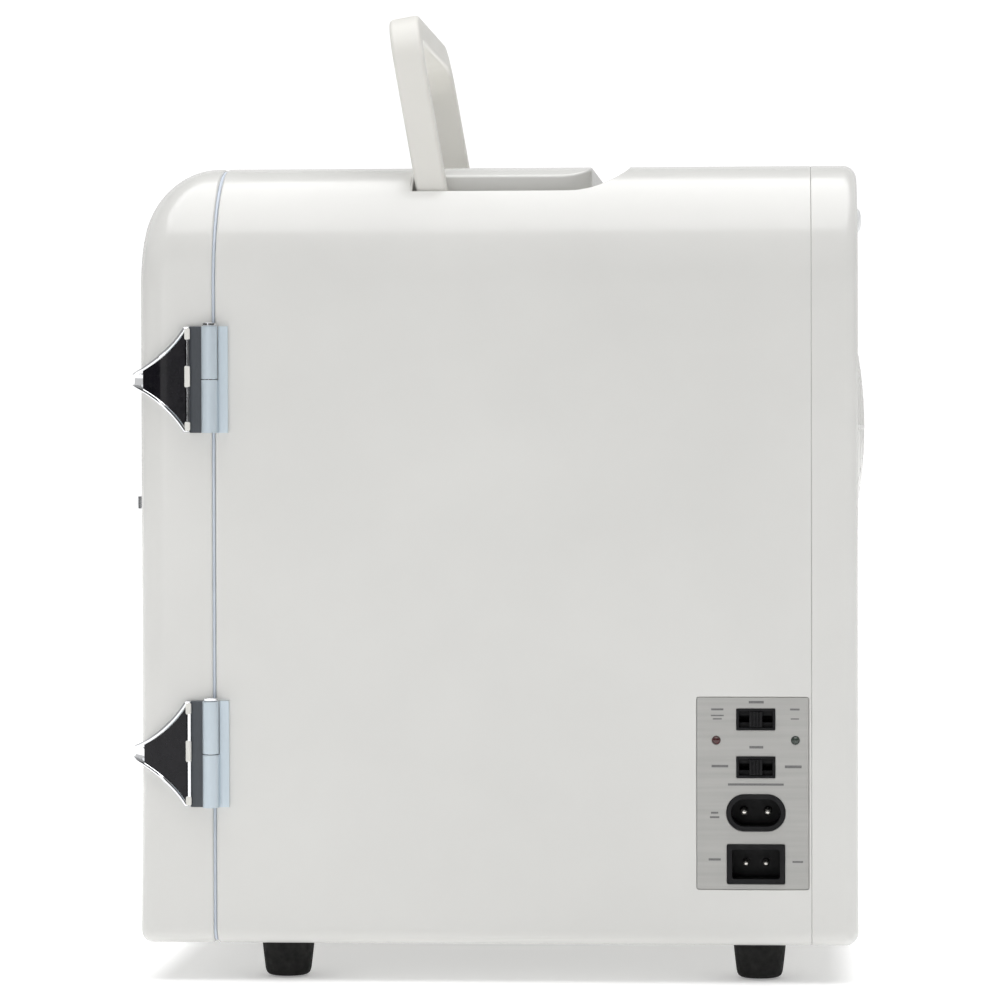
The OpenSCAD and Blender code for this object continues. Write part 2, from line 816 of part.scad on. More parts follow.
module heat_sink() {
    half = sink_w / 2;
    first = -fin_pitch * (fin_count - 1) / 2;
    color([0.72, 0.73, 0.74]) placed() difference() {
        union() {
            block([-half, sink_y, fan_z - half], [half, sink_y + sink_base_t, fan_z + half]);
            for (i = [0:fin_count - 1])
                block([first + i * fin_pitch - fin_t / 2, sink_y + 1, fan_z - half],
                    [first + i * fin_pitch + fin_t / 2, fin_end_y, fan_z + half]);
        }
        sink_screw_holes(sink_screw_r + clear, sink_y - 1, sink_y + sink_base_t + 1);
        sink_screw_holes(4, sink_y + sink_base_t, fin_end_y + 1);
        fan_holes(sink_y + sink_base_t + 10, fin_end_y + 1, fan_screw_r + 0.4);
    }
}

module sink_screws() {
    color([0.75, 0.75, 0.77]) placed() for (x = [-sink_screw_x, sink_screw_x]) {
        rod_y(chamber_back_y - cold_plate_t + 0.5, sink_y + sink_base_t + 1, x, fan_z, sink_screw_r);
        rod_y(sink_y + sink_base_t, sink_y + sink_base_t + 2.4, x, fan_z, 3);
    }
}

module fan_holes(y0, y1, r) {
    for (x = [-fan_screw_pitch / 2, fan_screw_pitch / 2], z = [-fan_screw_pitch / 2, fan_screw_pitch / 2])
        rod_y(y0, y1, x, fan_z + z, r);
}

module fan_frame() {
    half = fan_size / 2;
    color([0.07, 0.07, 0.08]) placed() {
        difference() {
            along_y(fan_y0, fan_y1) rounded2d([-half, fan_z - half], [half, fan_z + half], 3);
            rod_y(fan_y0 - 1, fan_y1 + 1, 0, fan_z, fan_bore_r);
            fan_holes(fan_y0 - 1, fan_y1 + 1, fan_screw_r + clear);
        }
        rod_y(fan_y0, fan_y0 + 2.5, 0, fan_z, hub_r);
        rod_y(fan_y0, fan_y1 - 3, 0, fan_z, shaft_r);
        for (a = [30:120:270]) translate([0, 0, fan_z]) rotate([0, a, 0])
            block([hub_r - 1, fan_y0, -1.5], [fan_bore_r + 0.5, fan_y0 + 2.5, 1.5]);
    }
}

module fan_rotor() {
    y0 = fan_y0 + 3;
    y1 = fan_y1 - 1;
    color([0.10, 0.10, 0.11]) placed() difference() {
        union() {
            rod_y(y0, y1, 0, fan_z, hub_r);
            for (i = [0:blade_count - 1])
                translate([0, (y0 + y1) / 2, fan_z]) rotate([0, i * 360 / blade_count, 0])
                    rotate([blade_pitch, 0, 0])
                        block([hub_r - 2, -8.5, -0.7], [blade_r, 8.5, 0.7]);
        }
        rod_y(y0 - 1, fan_y1 - 2.8, 0, fan_z, shaft_r + run_clear);
    }
}

module fan_screws() {
    color([0.12, 0.12, 0.12]) placed() {
        fan_holes(fan_y1 - 24, fan_y1 + 1, fan_screw_r);
        fan_holes(fan_y1, fan_y1 + 2, 3.2);
    }
}

// ---- Handle ----

// A U-shaped bail, drawn upright about its pivot
module bail2d() {
    half = handle_w / 2;
    inner = half - arm_w;
    inner_r = handle_r - arm_w;
    difference() {
        union() {
            rect2d([-half, 0], [half, handle_l - handle_r]);
            rect2d([-half + handle_r, handle_l - handle_r - 1], [half - handle_r, handle_l]);
            for (x = [-half + handle_r, half - handle_r])
                translate([x, handle_l - handle_r]) circle(handle_r);
        }
        inner_z = handle_l - grip_t;
        rect2d([-inner, -1], [inner, inner_z - inner_r]);
        rect2d([-inner + inner_r, inner_z - inner_r - 1], [inner - inner_r, inner_z]);
        for (x = [-inner + inner_r, inner - inner_r])
            translate([x, inner_z - inner_r]) circle(inner_r);
    }
}

module handle() {
    half = handle_w / 2;
    color([0.94, 0.93, 0.90]) placed() translate([0, pivot_y, pivot_z])
        rotate([handle_lean, 0, 0]) difference() {
            union() {
                along_y(-arm_t / 2, arm_t / 2) bail2d();
                both_sides() rod_x(half - arm_w, half, 0, 0, arm_t / 2);
            }
            both_sides() rod_x(half - arm_w - 1, half - 1.5, 0, 0, handle_pin_r + run_clear);
        }
}

module handle_pins() {
    color([0.75, 0.75, 0.77]) placed() both_sides() {
        rod_x(island_x - wall - 2, handle_w / 2 - 1.7, pivot_y, pivot_z, handle_pin_r);
        rod_x(island_x - wall - 2, island_x - wall - 0.2, pivot_y, pivot_z, 4);
    }
}

// ---- Inside the chamber ----

// A chromed wire shelf that stands on the liner's side ledges
module wire_shelf() {
    z = shelf_z + 1.6;
    x = chamber_x - 1.2;
    y0 = liner_y + 10;
    y1 = chamber_back_y - 10;
    color([0.80, 0.81, 0.82]) placed() {
        both_sides() rod_y(y0, y1, x - 1.5, z, 1.5);
        for (y = [y0, y1]) {
            rod_x(-x + 1.5, x - 1.5, y, z, 1.5);
            both_sides() translate([x - 1.5, y, z]) sphere(1.5);
        }
        rod_x(-x + 1.5, x - 1.5, (y0 + y1) / 2, z, 1.2);
        for (i = [-5:5]) rod_y(y0 - 0.6, y1 + 0.6, i * 11.5, z + 2, 1);
    }
}

module uv_lamp() {
    color([0.80, 0.84, 0.95]) placed() rod_x(-lamp_half, lamp_half, lamp_y, lamp_z, lamp_r);
}

module lamp_caps() {
    color([0.80, 0.80, 0.81]) placed() both_sides() {
        rod_x(lamp_half, cap_end, lamp_y, lamp_z, lamp_r + 0.4);
        for (dz = [-2.5, 2.5]) rod_x(cap_end - 1, cap_end + 4.5, lamp_y, lamp_z + dz, 1.1);
    }
}

module lamp_holders() {
    color([0.92, 0.92, 0.90]) placed() both_sides() difference() {
        block([cap_end + clear, lamp_y - 9, lamp_z - 10], [chamber_x - clear, lamp_y + 9, lamp_z + 5]);
        block([cap_end, lamp_y - 1.3, lamp_z - 11], [cap_end + 5, lamp_y + 1.3, lamp_z + 4]);
    }
}

module lamp_reflector() {
    z = chamber_z1 - 0.6;
    color([0.86, 0.87, 0.88]) placed() {
        block([-cap_end + 2, lamp_y - 15, z - 1], [cap_end - 2, lamp_y + 15, z]);
        for (s = [-1, 1]) block([-cap_end + 2, lamp_y + s * 14.5 - 0.5, z - 8],
            [cap_end - 2, lamp_y + s * 14.5 + 0.5, z]);
    }
}

// Door interlock: a magnet in the door faces a reed switch in the cabinet
module reed_switch() {
    color([0.88, 0.88, 0.86]) placed()
        block([-70, liner_y + 0.5, top_z - 40], [-50, liner_y + 7, top_z - 34]);
}

module door_magnet() {
    color([0.30, 0.30, 0.31]) placed()
        block([-66, door_t - door_liner_t - 5, top_z - 40], [-54, door_t - door_liner_t - 0.5, top_z - 34]);
}

// ---- Hinges ----

module barrel(z0, z1, bore) {
    difference() {
        rod_z(z0, z1, hinge_x, hinge_y, barrel_r);
        rod_z(z0 - 1, z1 + 1, hinge_x, hinge_y, bore);
    }
}

// The fixed leaf on the cabinet, with the lower knuckle
module fixed_leaf(z) {
    half = hinge_h / 2;
    difference() {
        union() {
            block([half_w, fixed_leaf_y0, z - half], [half_w + leaf_t, fixed_leaf_y1, z + half]);
            block([hinge_x - barrel_r, hinge_y, z - half],
                [half_w + leaf_t, fixed_leaf_y0 + 1, z - knuckle_gap]);
            rod_z(z - half, z - knuckle_gap, hinge_x, hinge_y, barrel_r);
        }
        rod_z(z - half - 1, z, hinge_x, hinge_y, hinge_pin_r + 0.02);
        for (dz = [-leaf_screw_z, leaf_screw_z])
            rod_x(half_w - 1, half_w + leaf_t - 0.4, (fixed_leaf_y0 + fixed_leaf_y1) / 2, z + dz,
                small_screw_r + run_clear);
    }
}

module upper_hinge_leaf() {
    color([0.76, 0.80, 0.84]) placed() fixed_leaf(upper_hinge_z);
}

module lower_hinge_leaf() {
    color([0.76, 0.80, 0.84]) placed() fixed_leaf(lower_hinge_z);
}

module hinge_pins() {
    half = hinge_h / 2;
    color([0.85, 0.86, 0.88]) placed() for (z = hinge_zs) {
        rod_z(z - half + 1, z + half + 0.5, hinge_x, hinge_y, hinge_pin_r);
        rod_z(z + half + clear, z + half + 1.2, hinge_x, hinge_y, barrel_r - 0.3);
    }
}

// A small countersunk-style screw seen from inside: a head on the inner wall and a shank
module wall_screw(x_head, x_tip, y, z) {
    dir = x_tip > x_head ? 1 : -1;
    rod_x(min(x_head, x_tip), max(x_head, x_tip), y, z, small_screw_r);
    rod_x(min(x_head, x_head + dir * small_head_t), max(x_head, x_head + dir * small_head_t), y, z,
        small_head_r);
}

module leaf_screws() {
    head_x = side_in - small_head_t - clear;
    color([0.75, 0.75, 0.77]) placed() {
        for (z = hinge_zs, dz = [-leaf_screw_z, leaf_screw_z])
            wall_screw(head_x, half_w + leaf_t - 0.5, (fixed_leaf_y0 + fixed_leaf_y1) / 2, z + dz);
        for (z = [keeper_z[0] + 3, keeper_z[1] + 1.5])
            wall_screw(-head_x, -half_w - keeper_t + 0.5, keeper_screw_y, z);
    }
}

// Half of the spearhead's outline, in Y and Z about its middle: concave flanks that meet in a
// blunt tip. A flank is an arc through its two ends, with a given sag.
function flank_radius(chord, sag) = (chord * chord / 4 + sag * sag) / (2 * sag);

module spear2d(inset = 0) {
    half = hinge_h / 2 - inset;
    foot_y = leaf_front_y - strap_shoulder;
    tip_y = -strap_t + inset;
    run = foot_y - tip_y;
    rise = half - strap_tip_h / 2 + inset;
    chord = sqrt(run * run + rise * rise);
    radius = flank_radius(chord, strap_sag);
    // unit vector square to the chord, pointing away from the spear
    out = [-rise, run] / chord;
    middle = [tip_y + run / 2, strap_tip_h / 2 - inset + rise / 2];
    centre = middle + out * (radius - strap_sag);
    difference() {
        rect2d([tip_y, -half], [leaf_front_y, half]);
        translate(centre) circle(radius, $fn = 128);
        translate([centre.x, -centre.y]) circle(radius, $fn = 128);
    }
}

// The door's corner seen from above, grown outwards by grow
module corner2d(grow) {
    r = door_side_r + grow;
    rect2d([0, -grow], [half_w + grow - r, leaf_edge_y]);
    rect2d([0, -grow + r], [half_w + grow, leaf_edge_y]);
    translate([half_w + grow - r, -grow + r]) circle(r);
}

// A spearhead that lies on the door's side and wraps round its corner on to the front
module strap_body(z) {
    tongue_x = half_w - strap_tongue;
    intersection() {
        along_z(z - hinge_h / 2, z + hinge_h / 2) difference() {
            corner2d(strap_t);
            corner2d(clear);
        }
        union() {
            along_x(tongue_x, half_w + strap_t + 1) translate([0, z]) spear2d();
            rod_y(-strap_t - 1, 1, tongue_x, z, strap_tip_h / 2);
        }
    }
}

// The sunk black face of a strap: the spear's outline drawn smaller, less the pads on its base
module inlay2d(grow = 0) {
    difference() {
        intersection() {
            spear2d(inlay_margin - grow);
            rect2d([inlay_tip_y - grow, -hinge_h], [leaf_front_y - 0.3 + grow, hinge_h]);
        }
        for (p = pad_zs) rect2d([pad_y + grow, p[0] + grow], [leaf_front_y + 1, p[1] - grow]);
    }
}

module strap_screw_holes(z) {
    for (p = strap_screws_yz)
        rod_x(half_w - 1, half_w + strap_t - inlay_t - 0.6, p.x, z + p.y, small_screw_r + run_clear);
}

// The moving half of a hinge: the spearhead, its thin edge and the upper knuckle
module hinge_strap(z) {
    half = hinge_h / 2;
    difference() {
        union() {
            strap_body(z);
            block([half_w + clear, leaf_front_y - 1, z - half], [half_w + leaf_t, leaf_edge_y, z + half]);
            block([hinge_x - barrel_r, leaf_edge_y - 1, z + knuckle_gap],
                [half_w + leaf_t, hinge_y, z + half]);
            rod_z(z + knuckle_gap, z + half, hinge_x, hinge_y, barrel_r);
        }
        rod_z(z, z + half + 1, hinge_x, hinge_y, hinge_pin_r + run_clear);
        along_x(half_w + strap_t - inlay_t, half_w + strap_t + 2) translate([0, z]) inlay2d(0.08);
        strap_screw_holes(z);
    }
}

module upper_hinge_strap() {
    color([0.85, 0.86, 0.88]) placed() hinge_strap(upper_hinge_z);
}

module lower_hinge_strap() {
    color([0.85, 0.86, 0.88]) placed() hinge_strap(lower_hinge_z);
}

module hinge_inlays() {
    color([0.03, 0.03, 0.04]) placed() for (z = hinge_zs)
        along_x(half_w + strap_t - inlay_t + 0.05, half_w + strap_t) translate([0, z]) inlay2d();
}

module strap_screws() {
    head_x = side_in - small_head_t - clear;
    tip_x = half_w + strap_t - inlay_t - 0.8;
    color([0.75, 0.75, 0.77]) placed() for (p = strap_screws_yz) {
        for (z = hinge_zs) wall_screw(head_x, tip_x, p.x, z + p.y);
        wall_screw(-head_x, -tip_x, p.x, latch_z + p.y);
    }
}

// ---- Latch ----

module latch_plate() {
    color([0.85, 0.86, 0.88]) placed() difference() {
        mirror([1, 0, 0]) strap_body(latch_z);
        mirror([1, 0, 0]) strap_screw_holes(latch_z);
        rod_x(-half_w - strap_t - 1, -half_w - 1.2, latch_pivot_y, latch_z, spring_pocket_r);
        rod_x(-half_w - strap_t - 1, -half_w + 1, latch_pivot_y, latch_z, latch_pin_r + 0.02);
    }
}

// The lever in Y and Z: a boss on the pin, an arm forward to the tab and an arm back to the hook
module lever2d() {
    difference() {
        union() {
            translate([latch_pivot_y, latch_z]) circle(lever_boss_r);
            rect2d([lever_tab_y - 1, latch_z - lever_tab_t / 2],
                [latch_pivot_y, latch_z + lever_tab_t / 2]);
            rect2d([latch_pivot_y, latch_z - 3], [hook_y1, latch_z + 3]);
            rect2d([hook_y0, hook_lip_z], [hook_y1, latch_z]);
        }
        translate([latch_pivot_y, latch_z]) circle(latch_pin_r + run_clear);
    }
}

module latch_lever() {
    tab_z = [latch_z - lever_tab_t / 2, latch_z + lever_tab_t / 2];
    color([0.85, 0.86, 0.88]) placed() difference() {
        union() {
            along_x(lever_x0, lever_x1) lever2d();
            along_z(tab_z[0], tab_z[1])
                rounded2d([lever_x0, -latch_reach], [lever_tab_x1, lever_tab_y], 4);
        }
        rod_x(lever_x1 - 1.2, lever_x1 + 1, latch_pivot_y, latch_z, spring_pocket_r);
    }
}

module latch_pin() {
    color([0.80, 0.81, 0.83]) placed() {
        rod_x(lever_x0 - 0.5, -half_w - 0.2, latch_pivot_y, latch_z, latch_pin_r);
        rod_x(lever_x0 - 0.8, lever_x0 - clear, latch_pivot_y, latch_z, 3.4);
    }
}

// The lever's return spring: three closed turns round the pin, in the two pockets
module latch_spring() {
    x0 = -half_w - 2;
    pitch = 2 * spring_wire_r;
    color([0.65, 0.66, 0.68]) placed() for (i = [0:2])
        translate([x0 - i * pitch, latch_pivot_y, latch_z]) rotate([0, 90, 0])
            rotate_extrude() translate([spring_r, 0]) circle(spring_wire_r + 0.02, $fn = 24);
}

module latch_keeper() {
    color([0.85, 0.86, 0.88]) placed() difference() {
        union() {
            along_x(-half_w - keeper_t, -half_w)
                rounded2d([keeper_y[0], keeper_z[0]], [keeper_y[1], keeper_z[1]], 2.5);
            rod_x(lever_x0, -half_w - keeper_t + eps, stud_y, stud_z, stud_r);
        }
        for (z = [keeper_z[0] + 3, keeper_z[1] + 1.5])
            rod_x(-half_w - keeper_t + 0.4, -half_w + 1, keeper_screw_y, z, small_screw_r + run_clear);
    }
}

// ---- Door ----

// The door's outside: the cabinet's outline with its front edges rounded
module door_solid(inset = 0, back = 0) {
    y1 = door_t + back;
    intersection() {
        along_y(inset, y1) outline(inset);
        along_x(-half_w, half_w) {
            r = door_top_r - inset;
            low_r = max(4 - inset, 0.6);
            rect2d([inset + r, base_z + inset], [y1, top_z - inset]);
            rect2d([inset, base_z + inset + low_r], [inset + r + 1, top_z - inset - r]);
            rect2d([inset + low_r, base_z + inset], [inset + r + 1, base_z + inset + low_r + 1]);
            translate([inset + r, top_z - inset - r]) circle(r);
            translate([inset + low_r, base_z + inset + low_r]) circle(low_r);
        }
        along_z(0, top_z)
            rounded2d([-half_w + inset, inset], [half_w - inset, y1 + 30], door_side_r - inset);
    }
}

module door_skin() {
    color([0.95, 0.95, 0.93]) placed() difference() {
        door_solid();
        door_solid(wall, 1);
        for (p = strap_screws_yz) {
            for (z = hinge_zs)
                rod_x(side_in - 1, half_w + 1, p.x, z + p.y, small_screw_r + clear);
            rod_x(-half_w - 1, -side_in + 1, p.x, latch_z + p.y, small_screw_r + clear);
        }
    }
}

module pocket_block(grow) {
    along_y(pocket_y - grow, door_t + 1) rounded2d([-pocket_x - grow, pocket_z[0] - grow],
        [pocket_x + grow, pocket_z[1] + grow], 6 + grow);
}

module door_insulation() {
    gap = wall + 0.2;
    color([0.93, 0.88, 0.70]) placed() difference() {
        intersection() {
            door_solid(gap);
            along_y(0, door_t - door_liner_t - 0.3) outline(gap);
        }
        pocket_block(pocket_wall + 0.2);
        for (p = strap_screws_yz) {
            for (z = hinge_zs) rod_x(side_in - 3, half_w, p.x, z + p.y, small_head_r + 0.4);
            rod_x(-half_w, -side_in + 3, p.x, latch_z + p.y, small_head_r + 0.4);
        }
        block([-67, door_t - door_liner_t - 5.5, top_z - 41], [-53, door_t, top_z - 33]);
    }
}

// The door's inner panel, with a pocket for the bins
module door_liner() {
    y1 = door_t - clear;
    color([0.90, 0.91, 0.92]) placed() difference() {
        union() {
            along_y(y1 - door_liner_t, y1) outline(wall + 0.2);
            along_y(pocket_y - pocket_wall, y1) rounded2d(
                [-pocket_x - pocket_wall, pocket_z[0] - pocket_wall],
                [pocket_x + pocket_wall, pocket_z[1] + pocket_wall], 6 + pocket_wall);
        }
        pocket_block(0);
    }
}

// Two clear bins in the door's pocket, each a floor and a front rail
module door_bins() {
    x = pocket_x - 0.2;
    color([0.80, 0.85, 0.88]) placed() for (z = bin_zs) {
        block([-x, pocket_y + 0.2, z], [x, door_t - 0.3, z + 2]);
        block([-x, door_t - 2.6, z + 1], [x, door_t - 0.3, z + bin_h]);
    }
}

module door_gasket() {
    color([0.70, 0.74, 0.80]) placed() along_y(door_t, body_y - clear) difference() {
        outline(2);
        outline(11);
    }
}

// ---- Nodes ----

outer_shell();
front_frame();
chamber_liner();
insulation();
rear_cover();
fan_guard();
rear_bumpers();
cover_screws();
rubber_feet();
foot_screws();
control_plate();
power_switch_housing();
power_switch_slider();
mode_switch_housing();
mode_switch_slider();
power_indicator();
mode_indicator();
ac_inlet();
ac_inlet_pins();
dc_inlet();
dc_inlet_pins();
circuit_board();
board_screws();
board_parts();
wiring();
cold_plate();
spacer_block();
thermoelectric_module();
heat_sink();
sink_screws();
fan_frame();
fan_rotor();
fan_screws();
handle();
handle_pins();
wire_shelf();
uv_lamp();
lamp_caps();
lamp_holders();
lamp_reflector();
reed_switch();
upper_hinge_leaf();
lower_hinge_leaf();
hinge_pins();
leaf_screws();
latch_keeper();
door_skin();
door_insulation();
door_liner();
door_bins();
door_gasket();
door_magnet();
upper_hinge_strap();
lower_hinge_strap();
hinge_inlays();
strap_screws();
latch_plate();
latch_lever();
latch_pin();
latch_spring();
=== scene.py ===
"""Looks of the countertop steriliser cabinet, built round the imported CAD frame.

Shapes are drawn in millimetres with the door's front face at Y = 0 and the floor at Z = 0, as the
cabinet was designed, and at() turns such a point into the frame's metres.
"""

import json
import math

import bmesh
import bpy
from mathutils import Matrix, Vector

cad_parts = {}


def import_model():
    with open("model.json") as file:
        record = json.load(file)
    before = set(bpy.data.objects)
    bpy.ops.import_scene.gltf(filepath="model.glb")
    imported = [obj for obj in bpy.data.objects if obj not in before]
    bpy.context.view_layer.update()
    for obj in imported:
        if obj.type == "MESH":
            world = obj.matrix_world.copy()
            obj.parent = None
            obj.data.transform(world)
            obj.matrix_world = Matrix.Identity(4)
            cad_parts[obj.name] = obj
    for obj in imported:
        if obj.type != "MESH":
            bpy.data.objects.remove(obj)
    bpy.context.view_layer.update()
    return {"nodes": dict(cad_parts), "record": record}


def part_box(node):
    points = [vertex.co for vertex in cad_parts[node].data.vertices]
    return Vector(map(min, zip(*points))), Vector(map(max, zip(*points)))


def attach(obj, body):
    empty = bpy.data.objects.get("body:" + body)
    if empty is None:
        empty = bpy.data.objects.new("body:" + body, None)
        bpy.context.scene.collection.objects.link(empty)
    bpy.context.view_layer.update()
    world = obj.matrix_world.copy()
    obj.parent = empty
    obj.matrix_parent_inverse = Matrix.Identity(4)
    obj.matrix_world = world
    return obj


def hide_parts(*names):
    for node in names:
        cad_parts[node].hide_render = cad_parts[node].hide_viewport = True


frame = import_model()
record = frame["record"]

# ---- Sizes taken from the frame, in millimetres ----

MM = 0.001
FRONT = Vector((0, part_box("door_skin")[0].y, 0))


def mm_box(node):
    """A CAD node's box in the design's millimetres, with Y measured from the door's front face."""
    low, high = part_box(node)
    return (low - FRONT) / MM, (high - FRONT) / MM


DOOR_T = mm_box("door_skin")[1].y
COVER_BACK = mm_box("rear_cover")[1].y
shell_low, shell_high = mm_box("outer_shell")
plate_low, plate_high = mm_box("control_plate")

HALF_W = shell_high.x
BASE_Z = shell_low.z
TOP_Z = shell_high.z
SHOULDER_R = 45
BASE_R = 7
WALL = 2.5
SMALLEST_R = 0.6
COVER_Y = shell_high.y + 0.06  # where the rear cover starts, a fine part line behind the shell

NODE_BODY = {n: b for b, nodes in record["behaviour"]["bodies"].items() for n in nodes}
NODE_SLOT = {s["node"]: s["material_slot"] for s in record["subparts"]}


def at(x, y, z):
    """A point of the design, in the frame's metres."""
    return FRONT + Vector((x, y, z)) * MM


def lerp(a, b, t):
    return a + (b - a) * t


def smooth(t):
    return t * t * (3 - 2 * t)


def steps(a, b, count):
    """count + 1 even steps from a to b."""
    return [lerp(a, b, i / count) for i in range(count + 1)]


# ---- Materials ----


def add_node(tree, kind, **values):
    """A new shader node with some of its inputs set; an underscore stands for a space."""
    node = tree.nodes.new("ShaderNode" + kind)
    for name, value in values.items():
        node.inputs[name.replace("_", " ")].default_value = value
    return node


class Surface:
    """A Principled material put together from nodes, with its patterns in metres of the frame."""

    def __init__(self, name, color, roughness, metallic=0.0):
        self.material = bpy.data.materials.new(name)
        self.material.use_nodes = True
        self.tree = self.material.node_tree
        self.shader = self.tree.nodes["Principled BSDF"]
        self.color = color
        self.set(Base_Color=(*color, 1), Roughness=roughness, Metallic=metallic)
        self.coords = add_node(self.tree, "TexCoord").outputs["Object"]
        self.height = None

    def set(self, **values):
        for name, value in values.items():
            self.shader.inputs[name.replace("_", " ")].default_value = value
        return self

    def feed(self, source, node, name):
        """Links source to a node's input, and gives the node back."""
        self.tree.links.new(source, node.inputs[name])
        return node

    def place(self, stretch):
        mapping = add_node(self.tree, "Mapping", Scale=stretch)
        return self.feed(self.coords, mapping, "Vector").outputs["Vector"]

    def noise(self, scale, stretch=(1, 1, 1), detail=3):
        node = add_node(self.tree, "TexNoise", Scale=scale, Detail=detail, Roughness=0.55)
        return self.feed(self.place(stretch), node, "Vector").outputs["Fac"]

    def cells(self, scale, feature="F1"):
        node = add_node(self.tree, "TexVoronoi", Scale=scale)
        node.feature = feature
        return self.feed(self.place((1, 1, 1)), node, "Vector").outputs["Distance"]

    def ramp(self, source, low, high, at_low=0.3, at_high=0.7):
        """A ramp from the colour low to the colour high."""
        node = add_node(self.tree, "ValToRGB")
        for element, at_value, color in zip(node.color_ramp.elements, (at_low, at_high), (low, high)):
            element.position = at_value
            element.color = (*color, 1)
        return self.feed(source, node, "Fac").outputs["Color"]

    def span(self, source, low, high, at_low=0.3, at_high=0.7):
        """A number from low to high as source goes from at_low to at_high."""
        node = add_node(self.tree, "MapRange", From_Min=at_low, From_Max=at_high, To_Min=low, To_Max=high)
        return self.feed(source, node, "Value").outputs["Result"]

    def tint(self, source, low, high, at_low=0.3, at_high=0.7):
        self.feed(self.ramp(source, low, high, at_low, at_high), self.shader, "Base Color")
        return self

    def mottle(self, source, low, high, at_low=0.3, at_high=0.7):
        """The base colour varies from low to high times itself."""
        return self.tint(source, shade(self.color, low), shade(self.color, high), at_low, at_high)

    def tint_twice(self, source, low, high, second, spot, at_low, at_high):
        """The colour varies from low to high with source, and turns to spot with second."""
        mix = add_node(self.tree, "Mix")
        mix.data_type = "RGBA"
        self.feed(self.span(second, 0, 1, at_low, at_high), mix, "Factor")
        self.feed(self.ramp(source, low, high), mix, "A")
        mix.inputs["B"].default_value = (*spot, 1)
        self.feed(mix.outputs["Result"], self.shader, "Base Color")
        return self

    def roughen(self, source, low, high):
        self.feed(self.span(source, low, high), self.shader, "Roughness")
        return self

    def bump(self, source, depth):
        """Adds relief of the given depth in millimetres; bumps add up."""
        node = add_node(self.tree, "Bump", Distance=depth * MM)
        self.feed(source, node, "Height")
        if self.height is not None:
            self.feed(self.height, node, "Normal")
        self.height = node.outputs["Normal"]
        self.feed(self.height, self.shader, "Normal")
        return self


def shade(color, factor):
    return tuple(min(1.0, c * factor) for c in color)


def moulded(name, color, roughness, grain, coat=0.0):
    """Moulded plastic: a faint tone drift, orange peel, fine grain and uneven gloss."""
    s = Surface(name, color, roughness)
    s.mottle(s.noise(14), 0.97, 1.02)
    s.roughen(s.noise(38, detail=4), roughness * 0.8, roughness * 1.25)
    s.bump(s.noise(170, detail=1), 0.010)
    s.bump(s.noise(2600, detail=2), grain)
    return s.set(Coat_Weight=coat, Coat_Roughness=0.12, IOR=1.5).material


def cabinet_white():
    return moulded("cabinet_white_abs", (0.745, 0.742, 0.720), 0.21, grain=0.0006, coat=0.2)


def liner_white():
    return moulded("liner_white_abs", (0.80, 0.815, 0.82), 0.37, grain=0.003)


def handle_white():
    return moulded("handle_ivory_abs", (0.80, 0.788, 0.745), 0.37, grain=0.003)


def rolled_sheet(name, color, roughness, metallic, tones):
    """Sheet metal with fine upright streaks; tones are the ends of its drift in colour."""
    s = Surface(name, color, roughness, metallic)
    streaks = s.noise(1500, stretch=(1, 1, 0.2), detail=1)
    return s.mottle(streaks, *tones).roughen(streaks, 0.28, 0.33).bump(s.noise(60, detail=1), 0.01).material


# Silver paint whose light blue-grey tone is partly a painted reflection, standing for the pale surround
# mirrored in the chromed barrel.
def hinge_metal():
    return rolled_sheet("hinge_silver_sky_reflection", (0.60, 0.68, 0.74), 0.3, 0.35, (0.985, 1.015))


# A dark sheet for the hinge's flat leaf: its dark tone is a painted dark reflection, standing for chrome
# that mirrors the dark room.
def dark_reflection_steel():
    return rolled_sheet("leaf_painted_dark_reflection", (0.075, 0.082, 0.092), 0.28, 0.55, (0.95, 1.06))


def chrome():
    s = Surface("chrome_plate", (0.80, 0.81, 0.83), 0.06, metallic=1.0)
    s.mottle(s.noise(60), 0.97, 1)
    return s.roughen(s.noise(130, detail=5), 0.03, 0.11).bump(s.noise(420, detail=1), 0.0012).material


# Black gloss; on the hinges' sunk faces its black is a painted dark reflection, standing for the dark room
# mirrored in chrome.
def black_gloss():
    s = Surface("black_gloss_dark_reflection", (0.006, 0.006, 0.008), 0.09)
    s.tint(s.noise(210), (0.004, 0.004, 0.006), (0.009, 0.008, 0.011))
    s.roughen(s.noise(480, detail=5), 0.05, 0.16)
    return s.bump(s.noise(520, detail=1), 0.002).set(Specular_IOR_Level=0.25).material


def black_plastic():
    s = Surface("black_plastic", (0.007, 0.007, 0.008), 0.42)
    s.tint(s.noise(320), (0.005, 0.005, 0.006), (0.010, 0.010, 0.011))
    s.roughen(s.noise(700), 0.34, 0.5)
    return s.bump(s.noise(3600, detail=2), 0.006).set(Specular_IOR_Level=0.2).material


def black_rubber():
    s = Surface("black_rubber", (0.012, 0.012, 0.012), 0.7)
    s.tint_twice(s.noise(260), (0.008, 0.008, 0.008), (0.016, 0.016, 0.015),
                 s.noise(90, detail=6), (0.03, 0.029, 0.027), 0.62, 0.8)
    s.roughen(s.noise(500), 0.6, 0.85)
    return s.bump(s.noise(2200, detail=3), 0.015).set(Specular_IOR_Level=0.2).material


def gasket():
    s = Surface("gasket_vinyl", (0.68, 0.74, 0.83), 0.5)
    s.mottle(s.noise(25, detail=1), 0.98, 1.02)
    return s.roughen(s.noise(400), 0.42, 0.6).bump(s.noise(1800), 0.006).material


def plate_silver():
    s = Surface("plate_silver_paint", (0.455, 0.452, 0.436), 0.42, metallic=0.25)
    streaks = s.noise(520, stretch=(1, 0.03, 1), detail=4)
    return s.mottle(streaks, 0.93, 1.06).roughen(streaks, 0.36, 0.5).bump(streaks, 0.004).material


